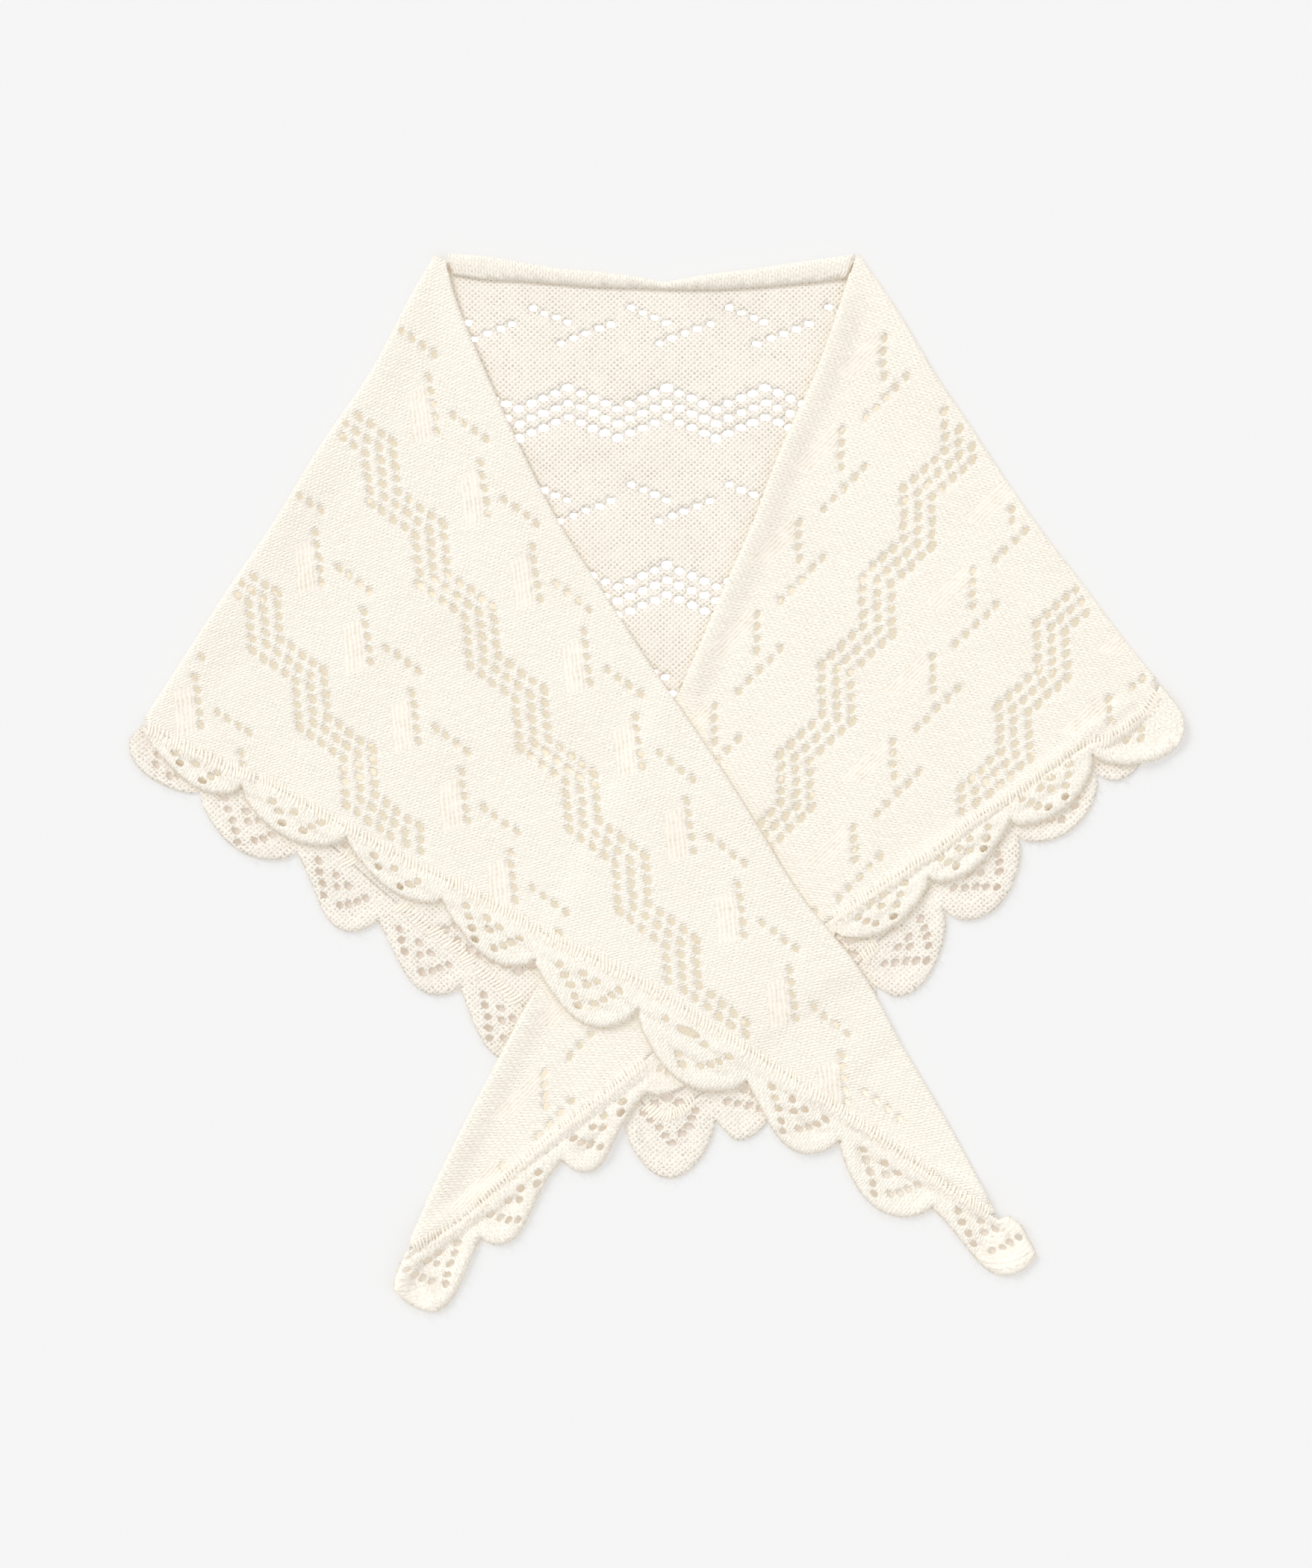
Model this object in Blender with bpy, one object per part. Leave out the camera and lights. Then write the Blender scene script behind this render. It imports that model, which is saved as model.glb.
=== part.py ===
"""Knitted lace triangle shawl, laid flat on a surface in the shape it has when it is worn.

The shawl is one knitted triangle with a long edge that rolls to the wrong side and a scalloped lace
edging linked to its two short sides. The middle of the triangle is the back panel, which lies wrong
side up. Its two ends are folded over at the shoulders, along two slanting folds: the right front lies
on the back, and the left front crosses over both. Plan positions are in drawing units of 0.4 mm, with
x to the right and y down, and the finished part stands on z = 0 with its plan centred on the origin.
"""
import math

import bmesh
import bpy
import numpy as np
from mathutils import Vector
from mathutils.geometry import delaunay_2d_cdt

# Sizes in metres
UNIT = 0.0004            # one drawing unit
CLOTH = 0.0015           # thickness of the knit
SEAM_GAP = 0.0003        # clearance between pieces at a seam and between layers
FOLD_RADIUS = 0.0022     # middle of the wall at the two shoulder folds
LIP_RADIUS = 0.0019      # middle of the wall at the rolled edge of the fronts
NECK_RADIUS_MIN = 0.0012
NECK_RADIUS_MAX = 0.0022
FLAP_DROOP = 0.25        # drop of the neck flap's rim, as a share of the roll's radius
NECK_SHARE = 0.36        # the roll's radius as a share of the flap's width, between those limits
RIM_RISE = 0.0022        # how far the scallop rims of the fronts curl up
LAYER = CLOTH + SEAM_GAP

STEEP = 0.95             # upright part of the normal above which a slope counts as gentle
STEEP_FADE = 0.2

# Plan measures in drawing units
CENTRE_X = 878.5
CENTRE_Y = 1051.5
GAP = SEAM_GAP / UNIT
STRIP_GAP = 1.6 * GAP    # between a turned-under strip and the back panel
STRIP_START = 4          # width of that strip at the shoulder
STRIP_GROWS = (20, 120)  # where it starts to widen down the fold, and over what length
RIM_BAND = 26            # width of the curled-up rim of a scallop
RIM_FADE = (20, 30)      # the curl starts this far from a fold and is full after this width
STRIP_WIDTH = 30         # turned-under strip beside each shoulder fold
LIP_TURN = 5             # how far the rolled edge runs on under the front
ROLL_FROM = 0.2          # the right front's edge rolls only where it is this free of the left front
FOLD_REACH = 60          # over this width the puffed fold comes down to the layer below
LIP_REACH = 34           # and over this width the rolled edge comes down to the flat of the front
CREASE_FADE = 20         # creases start this gently beside a fold or a rolled edge
TROUGH_SHARE = 0.35      # how much a trough flattens the roll beside it
STEP_DOWN = 36           # a front comes down beside a lower layer's rim over this width
RIM_CLEAR = 5            # and starts to come down this far past that rim
HIDE_REACH = 40          # the right front's relief dies out this far from the left front
EDGE_STEP = 24           # spacing of points along plain rims
SCALLOP_POINTS = 9       # points along each scallop
ARC_STEPS = 5            # facets round a fold
NECK_STATIONS = 23       # columns of points along the neck roll
ARC_ROW_STEP = 26        # spacing of the rows of points across a fold
FILL_STEP = 54           # spacing of the loose points in the flat of a panel

# Knit repeat in drawing units
REPEAT = 131             # sixteen stitches across
BAND_LINES = 3           # lines of eyelets in a zigzag band
BAND_LINE_STEP = 19.5
BAND_RISE = 28           # from a peak down to a valley
HOLE_LONG = 15
HOLE_SHORT = 10
HOLE_SIDES = 6
SCALLOP_EYELET = 0.35    # place of a scallop's middle eyelet, from its chord towards its crown
HOLE_MARGIN = 11         # no eyelet is cut closer to a rim than this

# Outlines. Columns: x, y
LEFT_FOLD = [(583, 343), (550, 400), (497, 500), (429, 600), (368, 700), (300, 800), (236, 900), (190, 970)]
RIGHT_FOLD = [(1150, 343), (1200, 416), (1250, 500), (1300, 574), (1350, 650), (1400, 720), (1450, 785),
              (1500, 852), (1552, 916)]
LEFT_INNER = [(597, 347), (609, 400), (650, 500), (696, 600), (747, 700), (811, 800), (876, 900),
              (945, 1000), (1009, 1100), (1071, 1200), (1151, 1300), (1207, 1400), (1266, 1500),
              (1320, 1600), (1337, 1632)]
RIGHT_INNER = [(1144, 347), (1128, 400), (1093, 500), (1047, 600), (1009, 700), (965, 800), (922, 900),
               (872, 1000), (822, 1110), (772, 1215), (722, 1315), (670, 1415), (628, 1495), (583, 1585),
               (543, 1675)]
LEFT_SEAM = [(190, 971), (230, 990), (300, 1025), (350, 1045), (450, 1100), (550, 1155), (650, 1205),
             (735, 1253), (870, 1322), (1015, 1415), (1143, 1497), (1262, 1585), (1337, 1632)]
RIGHT_SEAM = [(1552, 917), (1530, 955), (1490, 985), (1450, 1000), (1400, 1035), (1350, 1070), (1300, 1100),
              (1250, 1140), (1150, 1205), (1095, 1243), (972, 1322), (843, 1437), (729, 1528), (620, 1632),
              (543, 1675)]
BACK_SEAM = [(199, 982), (295, 1040), (418, 1112), (527, 1205), (638, 1292), (742, 1382), (830, 1452),
             (893, 1494), (950, 1456), (1052, 1385), (1148, 1292), (1240, 1192), (1342, 1092), (1450, 1006),
             (1543, 930)]

# Rolled neck edge. Columns: x, y of the top of the roll, y of the rim of the turned-down flap
NECK = [(606, 342, 368), (650, 345, 375), (700, 354, 377), (750, 362, 381), (800, 366, 385), (850, 372, 386),
        (890, 380, 388), (950, 369, 388), (1000, 364, 386), (1050, 356, 382), (1100, 349, 377),
        (1134, 343, 373)]

# Scallops of the edging, from notch to notch. Columns: notch x, notch y, crown x, crown y
LEFT_SCALLOPS = [(200, 990, 266, 1055), (325, 1053, 385, 1121), (465, 1121, 525, 1192),
                 (592, 1203, 652, 1281), (716, 1285, 782, 1369), (854, 1351, 912, 1447),
                 (1000, 1446, 1058, 1537), (1124, 1527, 1172, 1616), (1247, 1617, 1330, 1704)]
RIGHT_SCALLOPS = [(1556, 920, 1572, 1003), (1462, 1012, 1425, 1082), (1352, 1100, 1300, 1166),
                  (1243, 1176, 1190, 1244), (1118, 1248, 1062, 1330), (992, 1352, 935, 1440),
                  (866, 1463, 800, 1564), (752, 1554, 690, 1657), (644, 1658, 592, 1752)]
BACK_SCALLOPS = [(190, 971, 186, 1027), (268, 1060, 320, 1138), (397, 1141, 448, 1239),
                 (506, 1233, 560, 1323), (617, 1321, 662, 1412), (727, 1409, 778, 1496),
                 (836, 1500, 897, 1577), (958, 1500, 1010, 1519), (1062, 1428, 1127, 1424),
                 (1172, 1320, 1236, 1316), (1262, 1218, 1335, 1214), (1362, 1120, 1436, 1110),
                 (1467, 1037, 1530, 1020)]
LEFT_TIP = [(1387, 1682), (1382, 1670), (1365, 1635), (1345, 1620)]
RIGHT_TIP = [(528, 1725), (530, 1710), (536, 1692)]
SCALLOP_FULLNESS = 0.6   # lower is rounder at the notches

# Soft troughs and ridges of the fronts. Columns: x and y of both ends, half width, height in metres
RIGHT_CREASES = [(1172, 430, 1080, 660, 26, -0.0009), (1080, 660, 985, 900, 30, -0.0007),
                 (760, 1500, 800, 1440, 12, 0.0010), (690, 1590, 735, 1530, 14, 0.0009),
                 (1330, 700, 1300, 860, 34, 0.0008)]
LEFT_CREASES = [(660, 590, 760, 780, 26, -0.0007), (905, 1372, 945, 1392, 12, -0.0008),
                (420, 760, 470, 900, 36, 0.0008), (1150, 1400, 1230, 1500, 22, 0.0009)]

# Knit colours. Columns: red, green, blue
FRONT_COLOUR = (0.90, 0.85, 0.75)
BACK_COLOUR = (0.84, 0.79, 0.69)
EDGING_COLOUR = (0.88, 0.83, 0.73)


def ease(t):
    """Smooth step from 0 to 1."""
    t = np.clip(t, 0.0, 1.0)
    return t * t * (3 - 2 * t)


def curve(table, step):
    """Points about one step apart on a smooth curve through the table's points."""
    p = np.array(table, float)
    p = np.vstack([2 * p[0] - p[1], p, 2 * p[-1] - p[-2]])
    out = []
    for a, b, c, d in zip(p, p[1:], p[2:], p[3:]):
        count = max(1, round(float(np.hypot(*(c - b))) / step))
        for i in range(count):
            t = i / count
            out.append(0.5 * (2 * b + (c - a) * t + (2 * a - 5 * b + 4 * c - d) * t * t
                              + (3 * b - a - 3 * c + d) * t ** 3))
    out.append(p[-2])
    return np.array(out)


def side_of(points, line, inward):
    """Distance of each point from a line, positive on the inward side, and the line's inward normal there.

    inward is 1 where the inside lies to the right of the line as drawn, and -1 where it lies to the left.
    """
    points = np.asarray(points, float)
    a, b = line[:-1], line[1:]
    run = b - a
    length = np.hypot(run[:, 0], run[:, 1])
    along = ((points[:, None] - a) * run).sum(2) / length ** 2
    low = np.zeros(len(a))
    high = np.ones(len(a))
    low[0], high[-1] = -50, 50
    along = np.clip(along, low, high)
    off = points[:, None] - (a + along[..., None] * run)
    gap = np.hypot(off[..., 0], off[..., 1])
    near = gap.argmin(1)
    rows = np.arange(len(points))
    normal = np.stack([-run[:, 1], run[:, 0]], 1) / length[:, None] * inward
    normal = normal[near]
    signed = (off[rows, near] * normal).sum(1)
    distance = np.where(signed < 0, -gap[rows, near], gap[rows, near])
    return distance, normal


def inside(points, loop):
    """True for each point inside a closed loop."""
    x, y = points[:, 0][:, None], points[:, 1][:, None]
    a, b = loop, np.roll(loop, -1, 0)
    rise = b[:, 1] - a[:, 1]
    crosses = (a[:, 1] > y) != (b[:, 1] > y)
    at = a[:, 0] + (y - a[:, 1]) / np.where(rise == 0, 1e-12, rise) * (b[:, 0] - a[:, 0])
    return (crosses & (x < at)).sum(1) % 2 == 1


def rim_distance(points, loop):
    """Distance of each point from the rim of a closed loop."""
    a, b = loop, np.roll(loop, -1, 0)
    run = b - a
    along = ((points[:, None] - a) * run).sum(2) / np.maximum((run ** 2).sum(1), 1e-12)
    off = points[:, None] - (a + np.clip(along, 0, 1)[..., None] * run)
    return np.hypot(off[..., 0], off[..., 1]).min(1)


def cover(points, loop, clear, reach):
    """1 over a loop and a clear margin round it, and smoothly down to 0 beyond a further reach."""
    away = np.where(inside(points, loop), 0.0, rim_distance(points, loop))
    return 1 - ease((away - clear) / reach)


def scallops(table, last, count):
    """The edging's rim: each scallop bulges from its notch through its crown to the next notch."""
    rows = np.array(table, float)
    notches = np.vstack([rows[:, :2], [last]])
    out = []
    for start, end, crown in zip(notches, notches[1:], rows[:, 2:]):
        chord = end - start
        length = float(np.hypot(*chord))
        d = chord / length
        n = np.array([-d[1], d[0]])
        if (crown - start) @ n < 0:
            n = -n
        depth = (crown - start) @ n
        lean = math.log(0.5) / math.log(min(0.8, max(0.2, float((crown - start) @ d) / length)))
        for i in range(count):
            u = i / count
            out.append(start + d * length * u + n * depth * math.sin(math.pi * u ** lean) ** SCALLOP_FULLNESS)
    out.append(notches[-1])
    return np.array(out)


def offset_line(line, distance, inward):
    """A line moved sideways, to its inward side where the distance is positive."""
    run = np.gradient(line, axis=0)
    n = np.stack([-run[:, 1], run[:, 0]], 1) * inward
    return line + n / np.hypot(n[:, 0], n[:, 1])[:, None] * np.reshape(distance, (-1, 1))


def neck_at(x):
    """Top of the neck roll, width of its turned-down flap and its radius, at each x, in drawing units."""
    rows = np.array(NECK, float)
    top = np.interp(x, rows[:, 0], rows[:, 1])
    width = np.interp(x, rows[:, 0], rows[:, 2]) - top
    radius = np.clip(NECK_SHARE * width, NECK_RADIUS_MIN / UNIT, NECK_RADIUS_MAX / UNIT)
    return top, width, radius


FINE = 10                # point spacing of the lines that distances are taken from
SIDES = {
    "left": {"fold": curve(LEFT_FOLD, FINE), "inner": curve(LEFT_INNER, FINE),
             "seam": curve(LEFT_SEAM, EDGE_STEP), "creases": LEFT_CREASES,
             "fold_in": -1, "inner_in": 1},
    "right": {"fold": curve(RIGHT_FOLD, FINE), "inner": curve(RIGHT_INNER, FINE),
              "seam": curve(RIGHT_SEAM, EDGE_STEP), "creases": RIGHT_CREASES,
              "fold_in": 1, "inner_in": -1},
}
LEFT_RIM = np.vstack([scallops(LEFT_SCALLOPS, LEFT_TIP[0], SCALLOP_POINTS), LEFT_TIP[1:]])
RIGHT_RIM = np.vstack([scallops(RIGHT_SCALLOPS, RIGHT_TIP[0], SCALLOP_POINTS), RIGHT_TIP[1:]])
BACK_RIM = scallops(BACK_SCALLOPS, (1552, 917), SCALLOP_POINTS)
LEFT_PLAN = np.vstack([SIDES["left"]["fold"], LEFT_RIM, SIDES["left"]["inner"][::-1]])
# What lies below a front, taken straight from crown to crown of its scallops
BACK_COVER = np.vstack([LEFT_FOLD, np.array(BACK_SCALLOPS, float)[:, 2:], RIGHT_FOLD[::-1]])
RIGHT_COVER = np.vstack([RIGHT_FOLD, np.array(RIGHT_SCALLOPS, float)[:, 2:], RIGHT_TIP[:1],
                         RIGHT_INNER[::-1]])
RIMS = {"left": LEFT_RIM, "right": RIGHT_RIM}


def roll(e, radius):
    """Plan position and turned angle of a cloth that rolls over a line, from its unrolled distance e."""
    angle = np.clip((radius - e) / radius, 0, math.pi)
    plan = np.where(e > radius, e, radius - radius * np.sin(angle))
    past = radius - math.pi * radius - e
    return np.where(past > 0, radius + past, plan), angle


def crease_height(points, creases):
    """Height of the soft troughs and ridges, in metres."""
    total = np.zeros(len(points))
    for ax, ay, bx, by, half, height in creases:
        a, run = np.array((ax, ay), float), np.array((bx - ax, by - ay), float)
        t = np.clip(((points - a) @ run) / (run @ run), 0, 1)
        off = points - (a + t[:, None] * run)
        fade = 0.55 + 0.45 * np.sin(math.pi * t)
        total += height * fade * np.exp(-(off ** 2).sum(1) / half ** 2)
    return total


def lay_front(points, side):
    """Middle of a front's wall, in metres, from points of the unrolled front in drawing units."""
    points = np.asarray(points, float)
    line = SIDES[side]
    fold_e, fold_n = side_of(points, line["fold"], line["fold_in"])
    lip_e, lip_n = side_of(points, line["inner"], line["inner_in"])
    fold_r, lip_r = FOLD_RADIUS / UNIT, LIP_RADIUS / UNIT
    fold_plan, fold_angle = roll(fold_e, fold_r)
    lip_plan, lip_angle = roll(lip_e, lip_r)
    plan = points + fold_n * (fold_plan - fold_e)[:, None] + lip_n * (lip_plan - lip_e)[:, None]
    level = LAYER * cover(plan, BACK_COVER, RIM_CLEAR, STEP_DOWN)
    free = 1.0
    if side == "left":
        level = level + LAYER * cover(plan, RIGHT_COVER, RIM_CLEAR, STEP_DOWN)
    else:
        free = 1 - cover(plan, LEFT_PLAN, RIM_CLEAR, HIDE_REACH)
    rim_e = rim_distance(plan, RIMS[side])
    middle = level + CLOTH / 2
    middle = middle + free * RIM_RISE * ease(1 - rim_e / RIM_BAND) * ease((fold_e - RIM_FADE[0]) / RIM_FADE[1])
    relief = crease_height(plan, line["creases"])
    flat = ease((fold_e - FOLD_REACH) / CREASE_FADE) * ease((lip_e - LIP_REACH / 2) / CREASE_FADE)
    middle = middle + free * np.where(relief > 0, relief, 0) * flat
    lip_lift = np.where(lip_e > lip_r, 2 * ease(1 - (lip_e - lip_r) / LIP_REACH), 1 + np.cos(lip_angle))
    sink = 1 + TROUGH_SHARE * np.where(relief < 0, relief / CLOTH, 0)
    middle = middle + free * LIP_RADIUS * lip_lift * sink
    top_of_fold = CLOTH / 2 + 2 * FOLD_RADIUS
    beside = ease(1 - (fold_e - fold_r) / FOLD_REACH)
    puffed = middle + (top_of_fold - middle) * beside
    height = np.where(fold_e > fold_r, puffed, CLOTH / 2 + FOLD_RADIUS * (1 + np.cos(fold_angle)))
    return to_metres(plan, height)


def lay_back(points):
    """Middle of the back panel's wall, in metres, with its neck edge rolled over."""
    points = np.asarray(points, float)
    top, width, radius = neck_at(points[:, 0])
    e = points[:, 1] - top
    rolled = (points[:, 0] > NECK[0][0] - 1) & (points[:, 0] < NECK[-1][0] + 1)
    plan, angle = roll(e, radius)
    height = CLOTH / 2 + radius * UNIT * (1 - np.cos(angle))
    droop = np.clip((plan - radius) / np.maximum(width - radius, 1), 0, 1)
    height = height - np.where(e < radius - math.pi * radius, FLAP_DROOP * radius * UNIT * droop ** 2, 0)
    y = np.where(rolled, top + plan, points[:, 1])
    return to_metres(np.stack([points[:, 0], y], 1), np.where(rolled, height, CLOTH / 2))


def lay_flat(points):
    """Middle of a wall that lies flat on the surface."""
    points = np.asarray(points, float)
    return to_metres(points, np.full(len(points), CLOTH / 2))


def to_metres(plan, height):
    return np.stack([(plan[:, 0] - CENTRE_X) * UNIT, (CENTRE_Y - plan[:, 1]) * UNIT, height], 1)


def eyelet(x, y, turn):
    """Rim of one eyelet: a small hexagon, longer across its line of eyelets."""
    angles = [2 * math.pi * i / HOLE_SIDES for i in range(HOLE_SIDES)]
    c, s = math.cos(turn), math.sin(turn)
    return np.array([(x + c * HOLE_LONG / 2 * math.cos(a) - s * HOLE_SHORT / 2 * math.sin(a),
                      y + s * HOLE_LONG / 2 * math.cos(a) + c * HOLE_SHORT / 2 * math.sin(a)) for a in angles])


def chosen_eyelets(origin, along, down, bands, spans):
    """Centres of the largest eyelets of each repeat, on a knit whose stitches run along one direction.

    bands has the columns: distance of the band's first line from the long edge, place of a peak along it.
    """
    origin, along, down = (np.array(v, float) for v in (origin, along, down))
    out = []
    for top, first_peak in bands:
        for k in range(-spans, spans + 1):
            peak = first_peak + k * REPEAT
            middle = (BAND_LINES - 1) / 2 * BAND_LINE_STEP
            last = (BAND_LINES - 1) * BAND_LINE_STEP
            spots = [(peak, top), (peak + REPEAT / 2, top + last + BAND_RISE),
                     (peak, top + BAND_LINE_STEP), (peak + REPEAT / 4, top + middle + BAND_RISE / 2),
                     (peak - 16, top + 138), (peak + 16, top + 163)]
            out.extend(origin + along * s + down * v for s, v in spots)
    return np.array(out), math.atan2(along[1], along[0])


def cut_eyelets(centres, turn, loop, clear_of=()):
    """The eyelets that lie well inside a loop and well clear of the given lines."""
    keep = inside(centres, loop) & (rim_distance(centres, loop) > HOLE_MARGIN)
    for line, inward, clear in clear_of:
        distance, _ = side_of(centres, line, inward)
        keep &= distance > clear
    return [eyelet(x, y, turn) for x, y in centres[keep]]


def link(start, count, closed):
    """Pairs of neighbours in a run of points."""
    pairs = [(start + i, start + i + 1) for i in range(count - 1)]
    return pairs + [(start + count - 1, start)] if closed else pairs


def make_wall(name, loop, holes, rows, loose, lay, colour):
    """One closed wall: a flat cloth is meshed inside its loop, laid in place and given its thickness."""
    points, edges = [], []
    for run, closed in [(loop, True)] + [(h, True) for h in holes] + [(r, False) for r in rows]:
        edges += link(len(points), len(run), closed)
        points.extend(run)
    if len(loose):
        far = inside(loose, loop) & (rim_distance(loose, loop) > FILL_STEP / 2)
        for run in list(holes) + list(rows):
            gap = np.hypot(*(loose[:, None] - np.array(run)).transpose(2, 0, 1)).min(1)
            far &= gap > (FILL_STEP / 3)
        points.extend(loose[far])
    verts, _, faces, *_ = delaunay_2d_cdt([Vector((p[0], -p[1])) for p in points], edges, [], 0, 1e-4)
    flat = np.array([(v.x, -v.y) for v in verts])
    centres = np.array([flat[list(f)].mean(0) for f in faces])
    keep = inside(centres, loop)
    for hole in holes:
        keep &= ~inside(centres, hole)
    faces = [tuple(f) for f, k in zip(faces, keep) if k]
    used = sorted({i for f in faces for i in f})
    new = {old: i for i, old in enumerate(used)}
    faces = [tuple(new[i] for i in f) for f in faces]
    middle = lay(flat[used])
    normals = np.zeros_like(middle)
    for f in faces:
        a, b, c = middle[list(f)]
        n = np.cross(b - a, c - a)
        n /= max(float(np.linalg.norm(n)), 1e-15)
        for i, (p, q, r) in zip(f, ((a, b, c), (b, c, a), (c, a, b))):
            u, w = q - p, r - p
            cosine = (u @ w) / max(float(np.linalg.norm(u) * np.linalg.norm(w)), 1e-15)
            normals[i] += n * math.acos(max(-1.0, min(1.0, float(cosine))))
    normals /= np.linalg.norm(normals, axis=1)[:, None]
    # Gentle slopes are thickened straight up, so that walls that meet at a seam stay clear of each other
    normals[:, :2] *= ease((STEEP - abs(normals[:, 2])) / STEEP_FADE)[:, None]
    normals /= np.linalg.norm(normals, axis=1)[:, None]
    over = middle + normals * CLOTH / 2
    under = middle - normals * CLOTH / 2
    count = len(used)
    shell = list(faces) + [(a + count, c + count, b + count) for a, b, c in faces]
    directed = {(f[i], f[(i + 1) % 3]) for f in faces for i in range(3)}
    for a, b in sorted(directed):
        if (b, a) not in directed:
            shell.append((b, a, a + count))
            shell.append((b, a + count, b + count))
    mesh = bpy.data.meshes.new(name)
    mesh.from_pydata(np.vstack([over, under]).tolist(), [], shell)
    bm = bmesh.new()
    bm.from_mesh(mesh)
    bmesh.ops.dissolve_degenerate(bm, dist=1e-7, edges=bm.edges)
    bmesh.ops.triangulate(bm, faces=bm.faces)
    bm.to_mesh(mesh)
    bm.free()
    mesh.shade_smooth()
    mesh.set_sharp_from_angle(angle=math.radians(50))
    material = bpy.data.materials.new(name)
    material.use_nodes = True
    shader = material.node_tree.nodes["Principled BSDF"]
    shader.inputs["Base Color"].default_value = (*colour, 1)
    shader.inputs["Roughness"].default_value = 0.95
    shader.inputs["Metallic"].default_value = 0.0
    mesh.materials.append(material)
    obj = bpy.data.objects.new(name, mesh)
    bpy.context.scene.collection.objects.link(obj)
    return obj


def fill_points(loop):
    """A loose grid of points over a loop, each second row moved half a step."""
    low, high = loop.min(0), loop.max(0)
    out = []
    for j, y in enumerate(np.arange(low[1], high[1], FILL_STEP)):
        for x in np.arange(low[0], high[0], FILL_STEP):
            out.append((x + (FILL_STEP / 2 if j % 2 else 0), y))
    return np.array(out)


def turn_rows(radius):
    """Unrolled distances of the rows of points round a half turn, from the flat of the cloth on."""
    return [radius - math.pi * radius * k / ARC_STEPS for k in range(ARC_STEPS + 1)]


def level_rows(loop, side):
    """Rows of points where a front starts and ends its step down beside the rim of a lower layer."""
    line = SIDES[side]
    rows = []
    for below in [BACK_COVER] + ([RIGHT_COVER] if side == "left" else []):
        closed = np.vstack([below, below[:1]])
        rim = []
        for a, b in zip(closed, closed[1:]):
            count = max(1, round(float(np.hypot(*(b - a))) / ARC_ROW_STEP))
            rim += [a + (b - a) * i / count for i in range(count)]
        rim = np.array(rim)
        run = np.roll(rim, -1, 0) - np.roll(rim, 1, 0)
        n = np.stack([run[:, 1], -run[:, 0]], 1) / np.hypot(run[:, 0], run[:, 1])[:, None]
        if inside((rim + n * 2)[:1], below)[0]:
            n = -n
        for away in (0, RIM_CLEAR + 1, RIM_CLEAR + STEP_DOWN / 2, RIM_CLEAR + STEP_DOWN):
            row = rim + n * away
            fold_e, _ = side_of(row, line["fold"], line["fold_in"])
            lip_e, _ = side_of(row, line["inner"], line["inner_in"])
            good = inside(row, loop) & (rim_distance(row, loop) > 7) & (lip_e > LIP_RADIUS / UNIT + 6)
            good &= (fold_e > FOLD_RADIUS / UNIT + 6) & (rim_distance(row, below) > away - 1.5)
            rows += [np.array([point]) for point in row[good]]
    return rows


def strip_width(fold):
    """Width of the turned-under strip at each point down a shoulder fold. It starts narrow."""
    from_top = np.arange(len(fold)) * ARC_ROW_STEP
    return STRIP_START + (STRIP_WIDTH - STRIP_START) * ease((from_top - STRIP_GROWS[0]) / STRIP_GROWS[1])


def front_loop(side):
    """The unrolled rim of a front's body, and the rows of points round its fold and its rolled edge."""
    line = SIDES[side]
    fold_rows, lip_rows = turn_rows(FOLD_RADIUS / UNIT), turn_rows(LIP_RADIUS / UNIT)
    fold = curve(LEFT_FOLD if side == "left" else RIGHT_FOLD, ARC_ROW_STEP)[:-1]
    inner = curve(LEFT_INNER if side == "left" else RIGHT_INNER, ARC_ROW_STEP)
    around = [offset_line(fold, e, line["fold_in"]) for e in fold_rows]
    strip_rim = offset_line(fold, fold_rows[-1] + fold_rows[0] - strip_width(fold), line["fold_in"])
    path = [row[0] for row in around] + list(strip_rim) + [row[-1] for row in reversed(around)]
    path += list(line["seam"][2:-1])
    # The roll runs where no other layer lies on it, and is cut square at its ends
    open_above = np.ones(len(inner), bool)
    if side == "right":
        under = offset_line(inner, LIP_RADIUS / UNIT + LIP_TURN, line["inner_in"])
        open_above = cover(under, LEFT_PLAN, 0, HIDE_REACH) < ROLL_FROM
    open_above[:2] = open_above[-4:] = False
    over = [offset_line(inner, e, line["inner_in"]) for e in lip_rows]
    lip_rim = offset_line(inner, lip_rows[-1] - LIP_TURN, line["inner_in"])
    turned = [k for k, e in enumerate(lip_rows) if e < -0.5]
    rows = [row[1:-1] for row in around]
    last = len(inner) - 2
    for i in range(last, -1, -1):
        here = open_above[i]
        before = i < last and open_above[i + 1]
        after = i > 0 and open_above[i - 1]
        if not here:
            path.append(inner[i])
        elif not before:
            path += [inner[i]] + [over[k][i] for k in turned] + [lip_rim[i]]
        elif not after:
            path += [lip_rim[i]] + [over[k][i] for k in reversed(turned)] + [inner[i]]
        else:
            path.append(lip_rim[i])
    for k, row in enumerate(over):
        run = []
        for i in range(1, last):
            if k not in turned or (open_above[i] and open_above[i - 1] and open_above[i + 1]):
                run.append(row[i])
            else:
                rows.append(np.array(run))
                run = []
        rows.append(np.array(run))
    return np.array(path), [row for row in rows if len(row)]


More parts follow.
